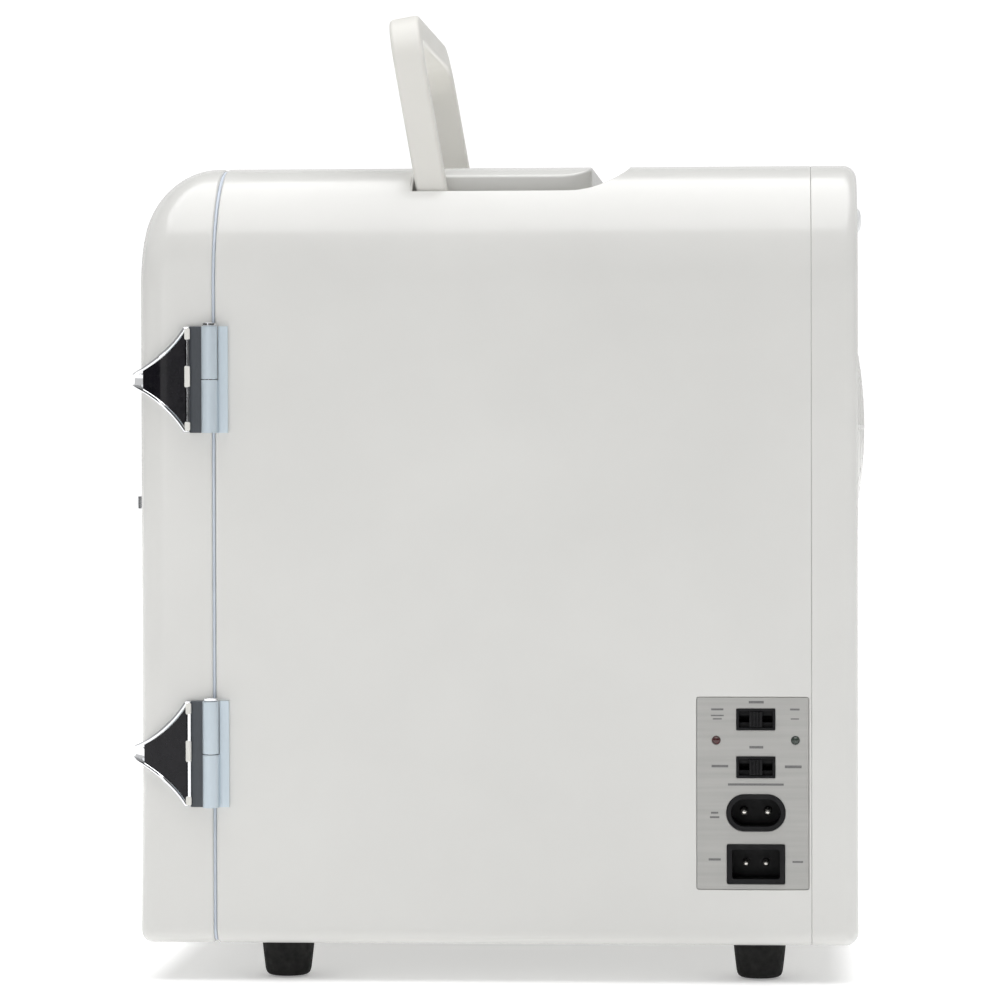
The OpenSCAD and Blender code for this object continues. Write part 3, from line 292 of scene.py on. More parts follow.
def steel():
    s = Surface("turned_steel", (0.62, 0.62, 0.64), 0.28, metallic=1.0)
    rings = s.noise(1500)
    return s.mottle(rings, 0.9, 1.06).roughen(rings, 0.29, 0.40).bump(rings, 0.004).material


def pin_metal():
    s = Surface("nickel_pin", (0.86, 0.84, 0.79), 0.2, metallic=0.9)
    s.mottle(s.noise(900), 0.9, 1)
    return s.roughen(s.noise(1200), 0.14, 0.26).bump(s.noise(1600), 0.002).material


def aluminium():
    s = Surface("drawn_aluminium", (0.74, 0.75, 0.76), 0.34, metallic=1.0)
    streaks = s.noise(700, stretch=(0.05, 1, 1), detail=4)
    return s.mottle(streaks, 0.9, 1.05).roughen(streaks, 0.29, 0.44).bump(streaks, 0.004).material


def speckled(name, tones, gloss, relief, metallic=0.0):
    """tones, gloss and relief are each a pattern's scale, then its two colours, its two roughnesses
    or its depth."""
    s = Surface(name, tones[1], gloss[1], metallic)
    s.tint(s.noise(tones[0]), *tones[1:])
    return s.roughen(s.noise(gloss[0]), *gloss[1:]).bump(s.noise(relief[0]), relief[1])


def ceramic():
    tones = (1100, (0.79, 0.79, 0.76), (0.87, 0.87, 0.85))
    return speckled("alumina", tones, (800, 0.5, 0.7), (2400, 0.006)).material


def board_green():
    s = Surface("circuit_board_mask", (0.02, 0.15, 0.06), 0.3)
    tracks = s.cells(160, "DISTANCE_TO_EDGE")
    s.tint_twice(s.noise(120), (0.012, 0.11, 0.045), (0.02, 0.15, 0.06),
                 tracks, (0.04, 0.24, 0.10), 0.10, 0.06)
    return s.roughen(s.noise(900), 0.30, 0.44).bump(tracks, 0.02).material


def board_part():
    tones = (420, (0.03, 0.028, 0.026), (0.07, 0.062, 0.055))
    return speckled("component_resin", tones, (600, 0.36, 0.6), (1400, 0.012)).material


def lead():
    tones = (300, (0.05, 0.08, 0.32), (0.07, 0.10, 0.40))
    return speckled("lead_sleeve", tones, (500, 0.32, 0.5), (1500, 0.004)).material


def lamp_glass():
    tones = (70, (0.86, 0.90, 1.0), (0.93, 0.95, 1.0))
    s = speckled("quartz_glass", tones, (160, 0.02, 0.07), (60, 0.01))
    return s.set(Transmission_Weight=0.9, IOR=1.46).material


def clear_plastic():
    tones = (50, (0.89, 0.94, 0.96), (0.95, 0.98, 0.98))
    s = speckled("clear_styrene", tones, (220, 0.03, 0.12), (90, 0.01))
    return s.set(Transmission_Weight=0.88, IOR=1.5).material


def lens(name, color):
    s = Surface(name, color, 0.14)
    s.mottle(s.noise(900), 0.7, 1.2).roughen(s.noise(1500), 0.1, 0.2).bump(s.noise(2500), 0.004)
    return s.set(Coat_Weight=0.6, Coat_Roughness=0.04).material


def red_lens():
    return lens("red_lens", (0.055, 0.004, 0.004))


def green_lens():
    return lens("green_lens", (0.022, 0.036, 0.026))


def magnet():
    tones = (900, (0.045, 0.045, 0.048), (0.085, 0.085, 0.088))
    return speckled("ferrite", tones, (700, 0.4, 0.62), (2200, 0.01), metallic=0.4).material


def foam():
    s = Surface("rigid_foam", (0.80, 0.74, 0.55), 0.85)
    bubbles = s.cells(700)
    # the colour darkens towards each bubble's middle, where the bump sinks: painted shade in the pores
    return s.mottle(bubbles, 0.82, 1, 0.0, 0.6).roughen(bubbles, 0.75, 0.92).bump(bubbles, 0.12).material


def print_grey():
    tones = (2200, (0.13, 0.13, 0.13), (0.21, 0.21, 0.21))
    return speckled("panel_print", tones, (900, 0.42, 0.58), (2600, 0.003)).material


# The record's material slots, each made by the function of the same name
MAKERS = {f.__name__: f for f in (
    cabinet_white, liner_white, handle_white, foam, chrome, hinge_metal, black_gloss, black_plastic,
    black_rubber, gasket, plate_silver, steel, pin_metal, aluminium, ceramic, board_green, board_part,
    lead, lamp_glass, clear_plastic, red_lens, green_lens, magnet)}
made_materials = {}


def finish_of(slot):
    if slot not in made_materials:
        made_materials[slot] = MAKERS[slot]()
    return made_materials[slot]


# ---- Mesh helpers ----


class Shape:
    """Vertices and faces in the design's millimetres."""

    def __init__(self):
        self.verts = []
        self.faces = []

    def ring(self, points):
        first = len(self.verts)
        self.verts.extend(tuple(p) for p in points)
        return list(range(first, first + len(points)))

    def bridge(self, a, b, closed=True):
        count = len(a)
        for i in range(count if closed else count - 1):
            j = (i + 1) % count
            self.faces.append((a[i], a[j], b[j], b[i]))

    def loft(self, rings, caps=True, looped=False):
        """Skins the rings in order; looped joins the last ring to the first."""
        made = [self.ring(r) for r in rings]
        for a, b in zip(made, made[1:]):
            self.bridge(a, b)
        if looped:
            self.bridge(made[-1], made[0])
        elif caps:
            self.faces.append(tuple(made[0]))
            self.faces.append(tuple(made[-1]))
        return made

    def box(self, low, high):
        x, y, z = zip(low, high)
        corners = [(x[i], y[j], z[k]) for k in (0, 1) for i, j in ((0, 0), (1, 0), (1, 1), (0, 1))]
        self.loft([corners[:4], corners[4:]])
        return self

    def mesh(self, name):
        mesh = bpy.data.meshes.new(name)
        mesh.from_pydata([at(*v) for v in self.verts], [], self.faces)
        tidy_mesh(mesh)
        return mesh


def lofted(rings, looped=False):
    shape = Shape()
    shape.loft(rings, looped=looped)
    return shape


def join_shapes(*shapes):
    whole = Shape()
    for s in shapes:
        base = len(whole.verts)
        whole.verts += s.verts
        whole.faces += [tuple(i + base for i in f) for f in s.faces]
    return whole


def tidy_mesh(mesh, merge=1e-7):
    bm = bmesh.new()
    bm.from_mesh(mesh)
    bmesh.ops.remove_doubles(bm, verts=bm.verts, dist=merge)
    bmesh.ops.dissolve_degenerate(bm, edges=bm.edges, dist=merge)
    bmesh.ops.recalc_face_normals(bm, faces=bm.faces)
    bm.to_mesh(mesh)
    bm.free()


def new_object(name, data):
    obj = bpy.data.objects.new(name, data)
    bpy.context.scene.collection.objects.link(obj)
    return obj


def piece(name, source, node, slot=None, stands_for=None, edge=0.0, angle=32):
    """A finished piece that rides on its node's body. source is a Shape or a mesh, stands_for the nodes
    that it replaces if not its own, and edge the radius that its sharp edges are rounded to."""
    mesh = source.mesh(name) if isinstance(source, Shape) else source
    mesh.shade_smooth()
    mesh.set_sharp_from_angle(angle=math.radians(angle))
    obj = new_object(name, mesh)
    if edge:
        bevel = obj.modifiers.new("rounded_edges", "BEVEL")
        bevel.width = edge * MM
        bevel.segments = 2
        bevel.limit_method = "ANGLE"
        bevel.angle_limit = math.radians(35)
        bevel.harden_normals = True
        bevel.miter_outer = "MITER_ARC"
    else:
        flat = obj.modifiers.new("flat_faces_stay_flat", "WEIGHTED_NORMAL")
        flat.keep_sharp = True
    slot = slot or NODE_SLOT[node]
    mesh.materials.clear()
    mesh.materials.append(finish_of(slot))
    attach(obj, NODE_BODY[node])
    if stands_for is None:
        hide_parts(node)
    elif stands_for:
        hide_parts(*stands_for)
    return obj


def flattened(mesh):
    """A copy of a CAD mesh as whole flat faces, ready to be rounded."""
    mesh = mesh.copy()
    bm = bmesh.new()
    bm.from_mesh(mesh)
    bmesh.ops.remove_doubles(bm, verts=bm.verts, dist=1e-6)
    bmesh.ops.dissolve_limit(bm, angle_limit=math.radians(0.5), verts=bm.verts, edges=bm.edges)
    bm.to_mesh(mesh)
    bm.free()
    shading = ("custom_normal", "sharp_face", "sharp_edge")
    for name in [a.name for a in mesh.attributes if a.name in shading]:
        mesh.attributes.remove(mesh.attributes[name])
    return mesh


def refined(node, edge):
    """A CAD node kept in its shape, with its edges rounded."""
    piece(node + "_finished", flattened(frame["nodes"][node].data), node, edge=edge)


def carved_piece(name, shape, node, cuts, joins=()):
    """A piece whose shape is joined with some shapes and then cut by others."""
    obj = new_object(name, shape.mesh(name))
    tools = []
    for operation, tool in [("UNION", j) for j in joins] + [("DIFFERENCE", c) for c in cuts]:
        tools.append(new_object("tool", tool.mesh("tool")))
        boolean = obj.modifiers.new("carve", "BOOLEAN")
        boolean.operation = operation
        boolean.solver = "EXACT"
        boolean.object = tools[-1]
    depsgraph = bpy.context.evaluated_depsgraph_get()
    mesh = bpy.data.meshes.new_from_object(obj.evaluated_get(depsgraph), depsgraph=depsgraph)
    for o in [obj, *tools]:
        bpy.data.objects.remove(o)
    tidy_mesh(mesh, merge=2e-6)
    piece(name, mesh, node)


def rounded_loop(u0, v0, u1, v1, radius, grow=0.0, arc_steps=8):
    """A rounded rectangle as (u, v) points, grown all round by grow."""
    r = max(radius + grow, 0.02)
    u0, v0, u1, v1 = u0 - grow, v0 - grow, u1 + grow, v1 + grow
    corners = ((u1 - r, v0 + r, -90), (u1 - r, v1 - r, 0), (u0 + r, v1 - r, 90), (u0 + r, v0 + r, 180))
    points = []
    for cu, cv, start in corners:
        for a in steps(start, start + 90, arc_steps):
            a = math.radians(a)
            points.append((cu + r * math.cos(a), cv + r * math.sin(a)))
    return points


def circle_loop(u, v, radius, grow=0.0, count=48):
    r = radius + grow
    return [(u + r * math.cos(a), v + r * math.sin(a)) for a in steps(0, 2 * math.pi, count)[:-1]]


RIM_TURN, FLOOR_TURN = (75, 50, 25, 0), (0, 30, 60, 90)


def turn(angles):
    """(1 - cos, 1 - sin) of each angle in degrees."""
    return [(1 - math.cos(math.radians(a)), 1 - math.sin(math.radians(a))) for a in angles]


def quarter(count):
    return turn(steps(0, 90, count))


def rim_profile(rim, depth, fillet):
    """(grow, height) pairs of a cutter whose rim and floor are rounded, from outside to the floor."""
    rings = [(rim, 3), (rim, 0.05 * rim + 0.01)] + [(rim * c, -rim * s) for c, s in turn(RIM_TURN)]
    if fillet:
        return rings + [(-fillet * c, -depth + fillet * s) for c, s in turn(FLOOR_TURN)]
    return rings + [(0, -depth)]


def sunk_cutter(loop, place, rim, depth, fillet=0.0):
    """A cutter with rounded rim and floor. loop(grow) gives (u, v) points, and place(u, v, height)
    puts them on the surface that is cut."""
    return lofted([[place(u, v, h) for u, v in loop(g)] for g, h in rim_profile(rim, depth, fillet)])


def lathe(profile, place, count=48, closed=False):
    """Turns (radius, along) pairs round an axis; place(u, v, along) puts them in the design."""
    return lofted([[place(u, v, s) for u, v in circle_loop(0, 0, r, 0, count)] for r, s in profile], closed)


def sweep(shape, path, section, up=(0, 0, 1), closed=False):
    """Sweeps section, as (side, up) pairs, along a path of points."""
    points = [Vector(p) for p in path]
    count = len(points)
    rings = []
    for i, p in enumerate(points):
        before = points[i - 1] if i or closed else p
        after = points[(i + 1) % count] if i < count - 1 or closed else p
        along = (after - before).normalized()
        side = along.cross(Vector(up)).normalized()
        top = side.cross(along).normalized()
        rings.append([p + side * s + top * t for s, t in section])
    shape.loft(rings, looped=closed)


# ---- The cabinet's outline, seen from the front ----

LOW_STEPS, SIDE_STEPS, SHOULDER_STEPS = 8, 16, 44
half_stations = [("low", t) for t in steps(0, 1, LOW_STEPS)]
half_stations += [("side", t) for t in steps(0, 1, SIDE_STEPS)[1:-1]]
half_stations += [("shoulder", t) for t in steps(0, 1, SHOULDER_STEPS)]
STATIONS = [(kind, t, 1) for kind, t in half_stations] + [("crown", 0, 1)]
STATIONS += [(kind, t, -1) for kind, t in reversed(half_stations)] + [("floor", 0, 1)]


def outline_point(station, inset):
    """(x, z) of a station on the outline drawn smaller all round by inset."""
    kind, t, side = station
    w, z0, z1 = HALF_W - inset, BASE_Z + inset, TOP_Z - inset
    low, top = max(BASE_R - inset, SMALLEST_R), max(SHOULDER_R - inset, SMALLEST_R)
    if kind == "floor":
        return 0, z0
    if kind == "crown":
        return 0, z1
    if kind == "side":
        return side * w, lerp(z0 + low, z1 - top, t)
    if kind == "low":
        a = math.radians(-90 + 90 * t)
        return side * (w - low + low * math.cos(a)), z0 + low + low * math.sin(a)
    a = math.radians(90 * t)
    return side * (w - top + top * math.cos(a)), z1 - top + top * math.sin(a)


def outline_ring(y, inset):
    """A ring of the outline; y and inset are numbers, or functions of the station."""
    points = []
    for s in STATIONS:
        x, z = outline_point(s, inset(s) if callable(inset) else inset)
        points.append((x, y(s) if callable(y) else y, z))
    return points


def surface_z(x):
    """Height of the cabinet's top above the floor at x."""
    over = max(0.0, abs(x) - (HALF_W - SHOULDER_R))
    return TOP_Z - SHOULDER_R + math.sqrt(max(0.0, SHOULDER_R**2 - over**2))


# ---- Door ----

DOOR_TOP_R, DOOR_SIDE_R, DOOR_LOW_R = 25, 10, 4


def door_edge_radius(station):
    """Radius of the door's front edge, which grows smoothly from the bottom to the crown."""
    kind, t, _ = station
    if kind == "floor":
        return DOOR_LOW_R
    if kind == "low":
        return lerp(DOOR_LOW_R, DOOR_LOW_R + 2, t)
    if kind == "side":
        return lerp(DOOR_LOW_R + 2, DOOR_SIDE_R, smooth(min(1, t * 5)))
    if kind == "shoulder":
        return lerp(DOOR_SIDE_R, DOOR_TOP_R, smooth(t))
    return DOOR_TOP_R


def door_inner_radius(station):
    return max(door_edge_radius(station) - WALL, 1)


def edge_rings(radius, count, inset):
    """Rings round the door's front edge, from the front back; radius is a function of the station."""
    return [outline_ring(lambda s, k=b: inset + radius(s) * k, lambda s, k=a: inset + radius(s) * k)
            for a, b in reversed(quarter(count))]


def door_skin():
    rim = 0.9
    rings = edge_rings(door_inner_radius, 10, WALL)
    rings += [outline_ring(DOOR_T - rim, WALL), outline_ring(DOOR_T, WALL - 0.4)]
    rings += [outline_ring(DOOR_T - rim * s, rim * c) for c, s in reversed(quarter(4))]
    rings += reversed(edge_rings(door_edge_radius, 16, 0))
    piece("door_moulding", lofted(rings), "door_skin")


POCKET_X, POCKET_Z0, POCKET_Z1, POCKET_Y, POCKET_WALL = 60, 62, 240, 12, 1.5


def pocket_loop(grow):
    return rounded_loop(-POCKET_X, POCKET_Z0, POCKET_X, POCKET_Z1, 6, grow)


def door_liner():
    back, thick = DOOR_T - 0.1, 2.4
    plate = lofted([outline_ring(back - thick, 2.9), outline_ring(back - 0.6, 2.7),
                    outline_ring(back - 0.2, 2.9), outline_ring(back, 3.3)])
    behind = [(0, -2), (POCKET_WALL, 0), (POCKET_WALL, back - POCKET_Y + POCKET_WALL - 1)]
    tub = lofted([[(x, POCKET_Y - POCKET_WALL + h + 2, z) for x, z in pocket_loop(g)] for g, h in behind])
    place = lambda x, z, h: (x, back + h, z)
    cuts = [sunk_cutter(pocket_loop, place, 1.6, back - POCKET_Y, 3)]
    # shallow reeds stiffen the panel above and below the pocket
    for z in (46, 52, 250, 256):
        reed = lambda grow, z=z: rounded_loop(-52, z - 1, 52, z + 1, 0.95, grow, 5)
        cuts.append(sunk_cutter(reed, place, 0.3, 0.7))
    carved_piece("door_inner_panel", plate, "door_liner", cuts, [tub])


def door_foam():
    """Foam that fills the door between its skin and its inner panel, round the pocket."""
    play, back = 0.15, DOOR_T - 2.8
    front = edge_rings(lambda s: door_inner_radius(s) - play, 10, WALL + play)
    block = lofted(front + [outline_ring(back, 3.2)])
    cut = sunk_cutter(lambda grow: pocket_loop(POCKET_WALL + play + grow), lambda x, z, h: (x, back + h, z),
                      0.0, back - POCKET_Y + POCKET_WALL + play)
    carved_piece("door_foam_block", block, "door_insulation", [cut])


def door_gasket():
    """A vinyl seal with a bulb on the outside and a lip on the inside of its hollow."""
    y0, y1 = DOOR_T, mm_box("door_gasket")[1].y
    profile = [(1.2, y0), (0.9, y0 + 0.3), (0.9, y1 - 0.35), (1.2, y1 - 0.08), (2, y1), (4.9, y1),
               (5.5, y1 - 0.2), (5.8, y1 - 0.55), (6.6, y1 - 0.6), (7.0, y1 - 0.25), (7.6, y1),
               (10.2, y1), (10.8, y1 - 0.2), (11, y1 - 0.6), (10.8, y0)]
    piece("door_seal", lofted([outline_ring(y, inset) for inset, y in profile], looped=True), "door_gasket")


# ---- Cabinet mouldings ----

GROOVE_Y0, GROOVE_Y1, GROOVE_X, GROOVE_R = 98.4, 176.5, 80.5, 21
ISLAND_X, ISLAND_Y1, ISLAND_R = 71.2, 163.2, 11.5
GROOVE_Z = 276.9
GROOVE_FILLET = 1.2
SCOOP_R, SCOOP_HALF, SCOOP_Y, SCOOP_Z = 9.5, 14.5, GROOVE_Y1 - 3.5, TOP_Z + 1


def groove_band(grow):
    """The handle's groove from above, as its outer and inner edges from the right arm to the left."""
    outer_c = (GROOVE_X - GROOVE_R, GROOVE_Y1 - GROOVE_R)
    inner_c = (ISLAND_X - ISLAND_R, ISLAND_Y1 - ISLAND_R)
    outer_r, inner_r = GROOVE_R + grow, ISLAND_R - grow
    right = [((GROOVE_X + grow, GROOVE_Y0 - grow), (ISLAND_X - grow, GROOVE_Y0 - grow)),
             ((GROOVE_X + grow, GROOVE_Y0 + 25), (ISLAND_X - grow, GROOVE_Y0 + 25))]
    for a in steps(0, math.pi / 2, 16):
        c, s = math.cos(a), math.sin(a)
        right.append(((outer_c[0] + outer_r * c, outer_c[1] + outer_r * s),
                      (inner_c[0] + inner_r * c, inner_c[1] + inner_r * s)))
    flat_x = HALF_W - SHOULDER_R
    right += [((x, GROOVE_Y1 + grow), (x, ISLAND_Y1 - grow)) for x in (56, flat_x, 30)]
    left = [((-a[0], a[1]), (-b[0], b[1])) for a, b in reversed(right)]
    return [p[0] for p in right + left], [p[1] for p in right + left]


def band_loft(rings):
    """A solid whose rings are bands; each ring is (grow, height function of x)."""
    shape = Shape()
    made = []
    for grow, height in rings:
        outer, inner = groove_band(grow)
        made.append((shape.ring([(x, y, height(x)) for x, y in outer]),
                     shape.ring([(x, y, height(x)) for x, y in inner])))
    loops = [o + i[::-1] for o, i in made]
    for a, b in zip(loops, loops[1:]):
        shape.bridge(a, b)
    for outer, inner in (made[0], made[-1]):
        shape.bridge(outer, inner, closed=False)
    return shape


def groove_cutter():
    rim = 0.9
    rings = [(rim, lambda x: TOP_Z + 6), (rim, lambda x: surface_z(x) + 0.05)]
    rings += [(rim * c, lambda x, s=s: surface_z(x) - rim * s) for c, s in turn(RIM_TURN)]
    rings += [(-GROOVE_FILLET * c, lambda x, s=s: GROOVE_Z + GROOVE_FILLET * s)
              for c, s in turn(FLOOR_TURN)]
    return band_loft(rings)


def scoop_cutter():
    """A finger scoop behind the folded grip: a rounded trough with spherical ends."""
    r, half = SCOOP_R, SCOOP_HALF + SCOOP_R
    profile = [(r * math.sin(a), -half + r * (1 - math.cos(a))) for a in steps(0.02, math.pi / 2, 10)]
    profile += [(r * math.cos(a), half - r * (1 - math.sin(a))) for a in steps(0, math.pi / 2 - 0.02, 10)]
    return lathe(profile, lambda u, v, s: (s, SCOOP_Y + u, SCOOP_Z + v), 56)


def outer_shell():
    y0, y1, edge, back_edge = shell_low.y, shell_high.y, 0.9, 0.3
    rings = [outline_ring(y0 + edge * s, edge * c) for c, s in reversed(quarter(5))]
    rings += [outline_ring(y1 - back_edge * s, back_edge * c) for c, s in quarter(4)]
    rings += [outline_ring(y1, WALL), outline_ring(y0, WALL)]
    shell = lofted(rings, looped=True)
    tray = band_loft([(WALL, lambda x: GROOVE_Z - WALL), (WALL, lambda x: surface_z(x) - 1.3)])
    scoop_tub = Shape().box((-SCOOP_HALF - SCOOP_R - 2, GROOVE_Y1 - 4, SCOOP_Z - SCOOP_R - 2),
                            (SCOOP_HALF + SCOOP_R + 2, SCOOP_Y + SCOOP_R + 2, TOP_Z - 1.3))
    place = lambda y, z, h: (HALF_W + h, y, z)
    lo, hi = plate_low, plate_high
    pocket = lambda grow: rounded_loop(lo.y - 0.15, lo.z - 0.15, hi.y + 0.15, hi.z + 0.15, 1, grow, 5)
    window = lambda grow: rounded_loop(lo.y + 1.3, lo.z + 1.3, hi.y - 1.3, hi.z - 1.3, 0.8, grow, 5)
    cuts = [groove_cutter(), scoop_cutter(), sunk_cutter(pocket, place, 0.25, 1.6),
            sunk_cutter(window, place, 0.0, 6)]
    carved_piece("cabinet_shell", shell, "outer_shell", cuts, [tray, scoop_tub])


VENT_COUNT, VENT_PITCH, VENT_H, VENT_W, VENT_Z0 = 9, 5.4, 3, 90, 95
FAN_Z = 200


def rear_cover():
    y1, r, front_edge = COVER_BACK, 5, 0.3
    inner_r = r - WALL
    rings = [outline_ring(y1 - WALL - inner_r * s, WALL + inner_r * c) for c, s in reversed(quarter(6))]
    rings.append(outline_ring(COVER_Y, WALL))
    rings += [outline_ring(COVER_Y + front_edge * s, front_edge * c) for c, s in reversed(quarter(4))]
    rings += [outline_ring(y1 - r * s, r * c) for c, s in quarter(12)]
    lip_profile = ((-5.5, 3.0), (-5.2, 2.7), (0.2, 2.7), (0.6, 2.2), (3, 2.2), (3, 4.3), (-5.5, 4.3))
    lip = lofted([outline_ring(COVER_Y + y, inset) for y, inset in lip_profile], looped=True)
    back = lambda x, z, h: (x, y1 + h, z)
    cuts = [sunk_cutter(lambda g: circle_loop(0, FAN_Z, 38.2, g, 96), back, 0.6, 8)]
    for i in range(VENT_COUNT):
        z = VENT_Z0 + i * VENT_PITCH
        slot = lambda g, z=z: rounded_loop(-VENT_W / 2, z, VENT_W / 2, z + VENT_H, VENT_H / 2 - 0.02, g, 6)
        cuts.append(sunk_cutter(slot, back, 0.5, 6))
    for x, z in ((88.5, 240), (-88.5, 240), (50, 21), (-50, 21)):
        cuts.append(sunk_cutter(lambda g, x=x, z=z: circle_loop(x, z, 3.25, g), back, 0.35, 2.3))
    carved_piece("rear_cover_moulding", lofted(rings), "rear_cover", cuts)
    piece("rear_cover_lip", lip, "rear_cover", stands_for=())


CHAMBER_WALL, CHAMBER_R, LEDGE_Z = 1.5, 8, 130


def front_frame():
    low, high = mm_box("front_frame")
    (x0, z0), (x1, z1) = chamber_box()
    plate = lofted([outline_ring(low.y, 3.0), outline_ring(low.y + 0.35, 2.62),
                    outline_ring(high.y, 2.62)])
    cut = sunk_cutter(lambda grow: rounded_loop(x0, z0, x1, z1, CHAMBER_R, grow, 10),
                      lambda x, z, h: (x, low.y - h, z), 1.2, 12)
    carved_piece("door_frame", plate, "front_frame", [cut])


def chamber_box():
    """The chamber's inside in X and Z: lowest and highest corners."""
    low, high = mm_box("chamber_liner")
    return (low.x + CHAMBER_WALL, low.z + CHAMBER_WALL), (high.x - CHAMBER_WALL, high.z - CHAMBER_WALL)


def chamber_liner():
    low, high = mm_box("chamber_liner")
    (x0, z0), (x1, z1) = chamber_box()
    wall, back, fillet = CHAMBER_WALL, high.y - CHAMBER_WALL, 5
    loop = lambda grow: rounded_loop(x0, z0, x1, z1, CHAMBER_R, grow, 12)
    inside = [(0, low.y)] + [(-fillet * c, back - fillet * s) for c, s in quarter(8)]
    outside = [(wall, low.y)] + [(wall - (fillet + wall) * c, back + wall - (fillet + wall) * s)
                                 for c, s in quarter(8)]
    tub = lofted([[(x, y, z) for x, z in loop(g)] for g, y in inside[::-1] + outside])
    section = [(0, 0), (3, 0), (3.4, -0.4), (3.4, -1.3), (2.6, -2), (0, -4.5), (-0.8, -4.5), (-0.8, 0)]
    ledges = [lofted([[(side * (x1 - u), y, LEDGE_Z + v) for u, v in section]
                      for y in (low.y + 8, back - 8)]) for side in (-1, 1)]
    piece("chamber_moulding", join_shapes(tub, *ledges), "chamber_liner")


# ---- Handle ----

PIVOT_Y, PIVOT_Z, LEAN = 106, 283.3, 10
HANDLE_W, HANDLE_L, ARM_T, ARM_W, GRIP_T, HANDLE_R = 159, 69, 11.2, 7.5, 10, 20


def handle_section(outer, inner, thickness):
    """A rounded rectangle between an outer and an inner point, thickness front to back."""
    a, b = Vector(outer), Vector(inner)
    width = (a - b).length
    across = (a - b) / width
    r = min(1.6, thickness / 2 - 0.05)
    loop = rounded_loop(0, -thickness / 2, width, thickness / 2, r, 0, 5)
    return [(b.x + across.x * u, v, b.y + across.y * u) for u, v in loop]


def carry_handle():
    """A bail whose arms and grip have a rounded rectangular section, drawn upright and then leant."""
    half, inner_r = HANDLE_W / 2, HANDLE_R - ARM_W
    pairs = [((half, s), (half - ARM_W, s)) for s in steps(0, HANDLE_L - HANDLE_R - 4, 6)]
    for a in steps(0, math.pi / 2, 20):
        c, s = math.cos(a), math.sin(a)
        pairs.append(((half - HANDLE_R + HANDLE_R * c, HANDLE_L - HANDLE_R + HANDLE_R * s),
                      (half - ARM_W - inner_r + inner_r * c, HANDLE_L - GRIP_T - inner_r + inner_r * s)))
    pairs += [((x, HANDLE_L), (x, HANDLE_L - GRIP_T)) for x in (30, 0)]
    mirrored = [((-a[0], a[1]), (-b[0], b[1])) for a, b in reversed(pairs[:-1])]
    foot = []
    for a in steps(math.pi / 2 - 0.03, 0.12, 9):
        s = -ARM_T / 2 * math.sin(a)
        foot.append(handle_section((half, s), (half - ARM_W, s), max(ARM_T * math.cos(a), 0.5)))
    rings = foot + [handle_section(a, b, ARM_T) for a, b in pairs + mirrored]
    rings += [[(-x, v, s) for x, v, s in ring] for ring in reversed(foot)]
    lean = math.radians(LEAN)
    c, s = math.cos(lean), math.sin(lean)
    leant = [[(x, PIVOT_Y + v * c - up * s, PIVOT_Z + v * s + up * c) for x, v, up in ring]
             for ring in rings]
    piece("carrying_handle", lofted(leant), "handle", angle=40)


# ---- Hinges and latch plate ----

STRAP_T, STRAP_BASE_Y, CORNER_R, STRAP_HALF, STRAP_SHOULDER = 3.2, 19.4, 10, 19.25, 2.4
TIP_HALF, FLANK_R, FLANK_Y, FLANK_T = 2.7, 39.8, -16.94, 40.07
TONGUE_X = 85
SIDE_RUN = STRAP_BASE_Y - CORNER_R
ARC_R = CORNER_R + STRAP_T
ARC_RUN = ARC_R * math.pi / 2
RIM = 1.6
BASE_RIM = 0.3
FACE_TIP_Y = 2.0


def wrap(p, t, h, z, side=1):
    """A point on the strap: p along it from its base, t up from its middle and h off the door."""
    if p <= SIDE_RUN:
        return side * (HALF_W + h), STRAP_BASE_Y - p, z + t
    a = min((p - SIDE_RUN) / ARC_R, math.pi / 2)
    beyond = max(0.0, p - SIDE_RUN - ARC_RUN)
    x = HALF_W - CORNER_R + (CORNER_R + h) * math.cos(a) - beyond
    return side * x, CORNER_R - (CORNER_R + h) * math.sin(a), z + t


def flank(y):
    return FLANK_T - math.sqrt(FLANK_R**2 - (y - FLANK_Y) ** 2)


def strap_chain():
    """The upper half of the spearhead's outline as (p, t), from the middle of its base to its end."""
    chain = [(0, t) for t in steps(0, STRAP_HALF - 0.5, 6)] + [(0.15, STRAP_HALF - 0.15), (0.5, STRAP_HALF)]
    chain += [(STRAP_SHOULDER - 0.5, STRAP_HALF), (STRAP_SHOULDER, STRAP_HALF - 0.18)]
    chain += [(STRAP_BASE_Y - y, flank(y)) for y in steps(16.6, CORNER_R, 8)]
    chain += [(SIDE_RUN + ARC_R * a, flank(CORNER_R - ARC_R * math.sin(a)))
              for a in steps(0, math.pi / 2, 14)[1:]]
    end = SIDE_RUN + ARC_RUN + (HALF_W - CORNER_R - TONGUE_X)
    chain += [(end + TIP_HALF * math.sin(a), TIP_HALF * math.cos(a)) for a in steps(0, math.pi / 2, 8)]
    return chain


def inset_chain(chain, d):
    """The chain moved inwards by d, with its two ends kept on the middle line."""
    moved = [(chain[0][0] + d, 0)]
    points = [Vector(p) for p in chain]
    for before, here, after in zip(points, points[1:], points[2:]):
        a, b = (here - before).normalized(), (after - here).normalized()
        scale = d / max(0.35, 1 + a.dot(b))
        moved.append((here.x + (a.y + b.y) * scale, max(0.0, here.y - (a.x + b.x) * scale)))
    return moved + [(chain[-1][0] - d, 0)]


def face_chain(chain, d):
    """The outline of the sunk face: the inset outline, cut off square near the tip."""
    inner = inset_chain(chain, d)
    inner = [(BASE_RIM + d - RIM if old[0] < 0.4 else p, t) for old, (p, t) in zip(chain, inner)]
    tip_p = SIDE_RUN + ARC_R * math.asin((CORNER_R - FACE_TIP_Y) / ARC_R)
    last = max(i for i, (p, t) in enumerate(inner) if p <= tip_p)
    rest = len(inner) - last - 1
    return inner[: last + 1] + [(tip_p, inner[last][1] * (1 - k / rest)) for k in range(1, rest + 1)]


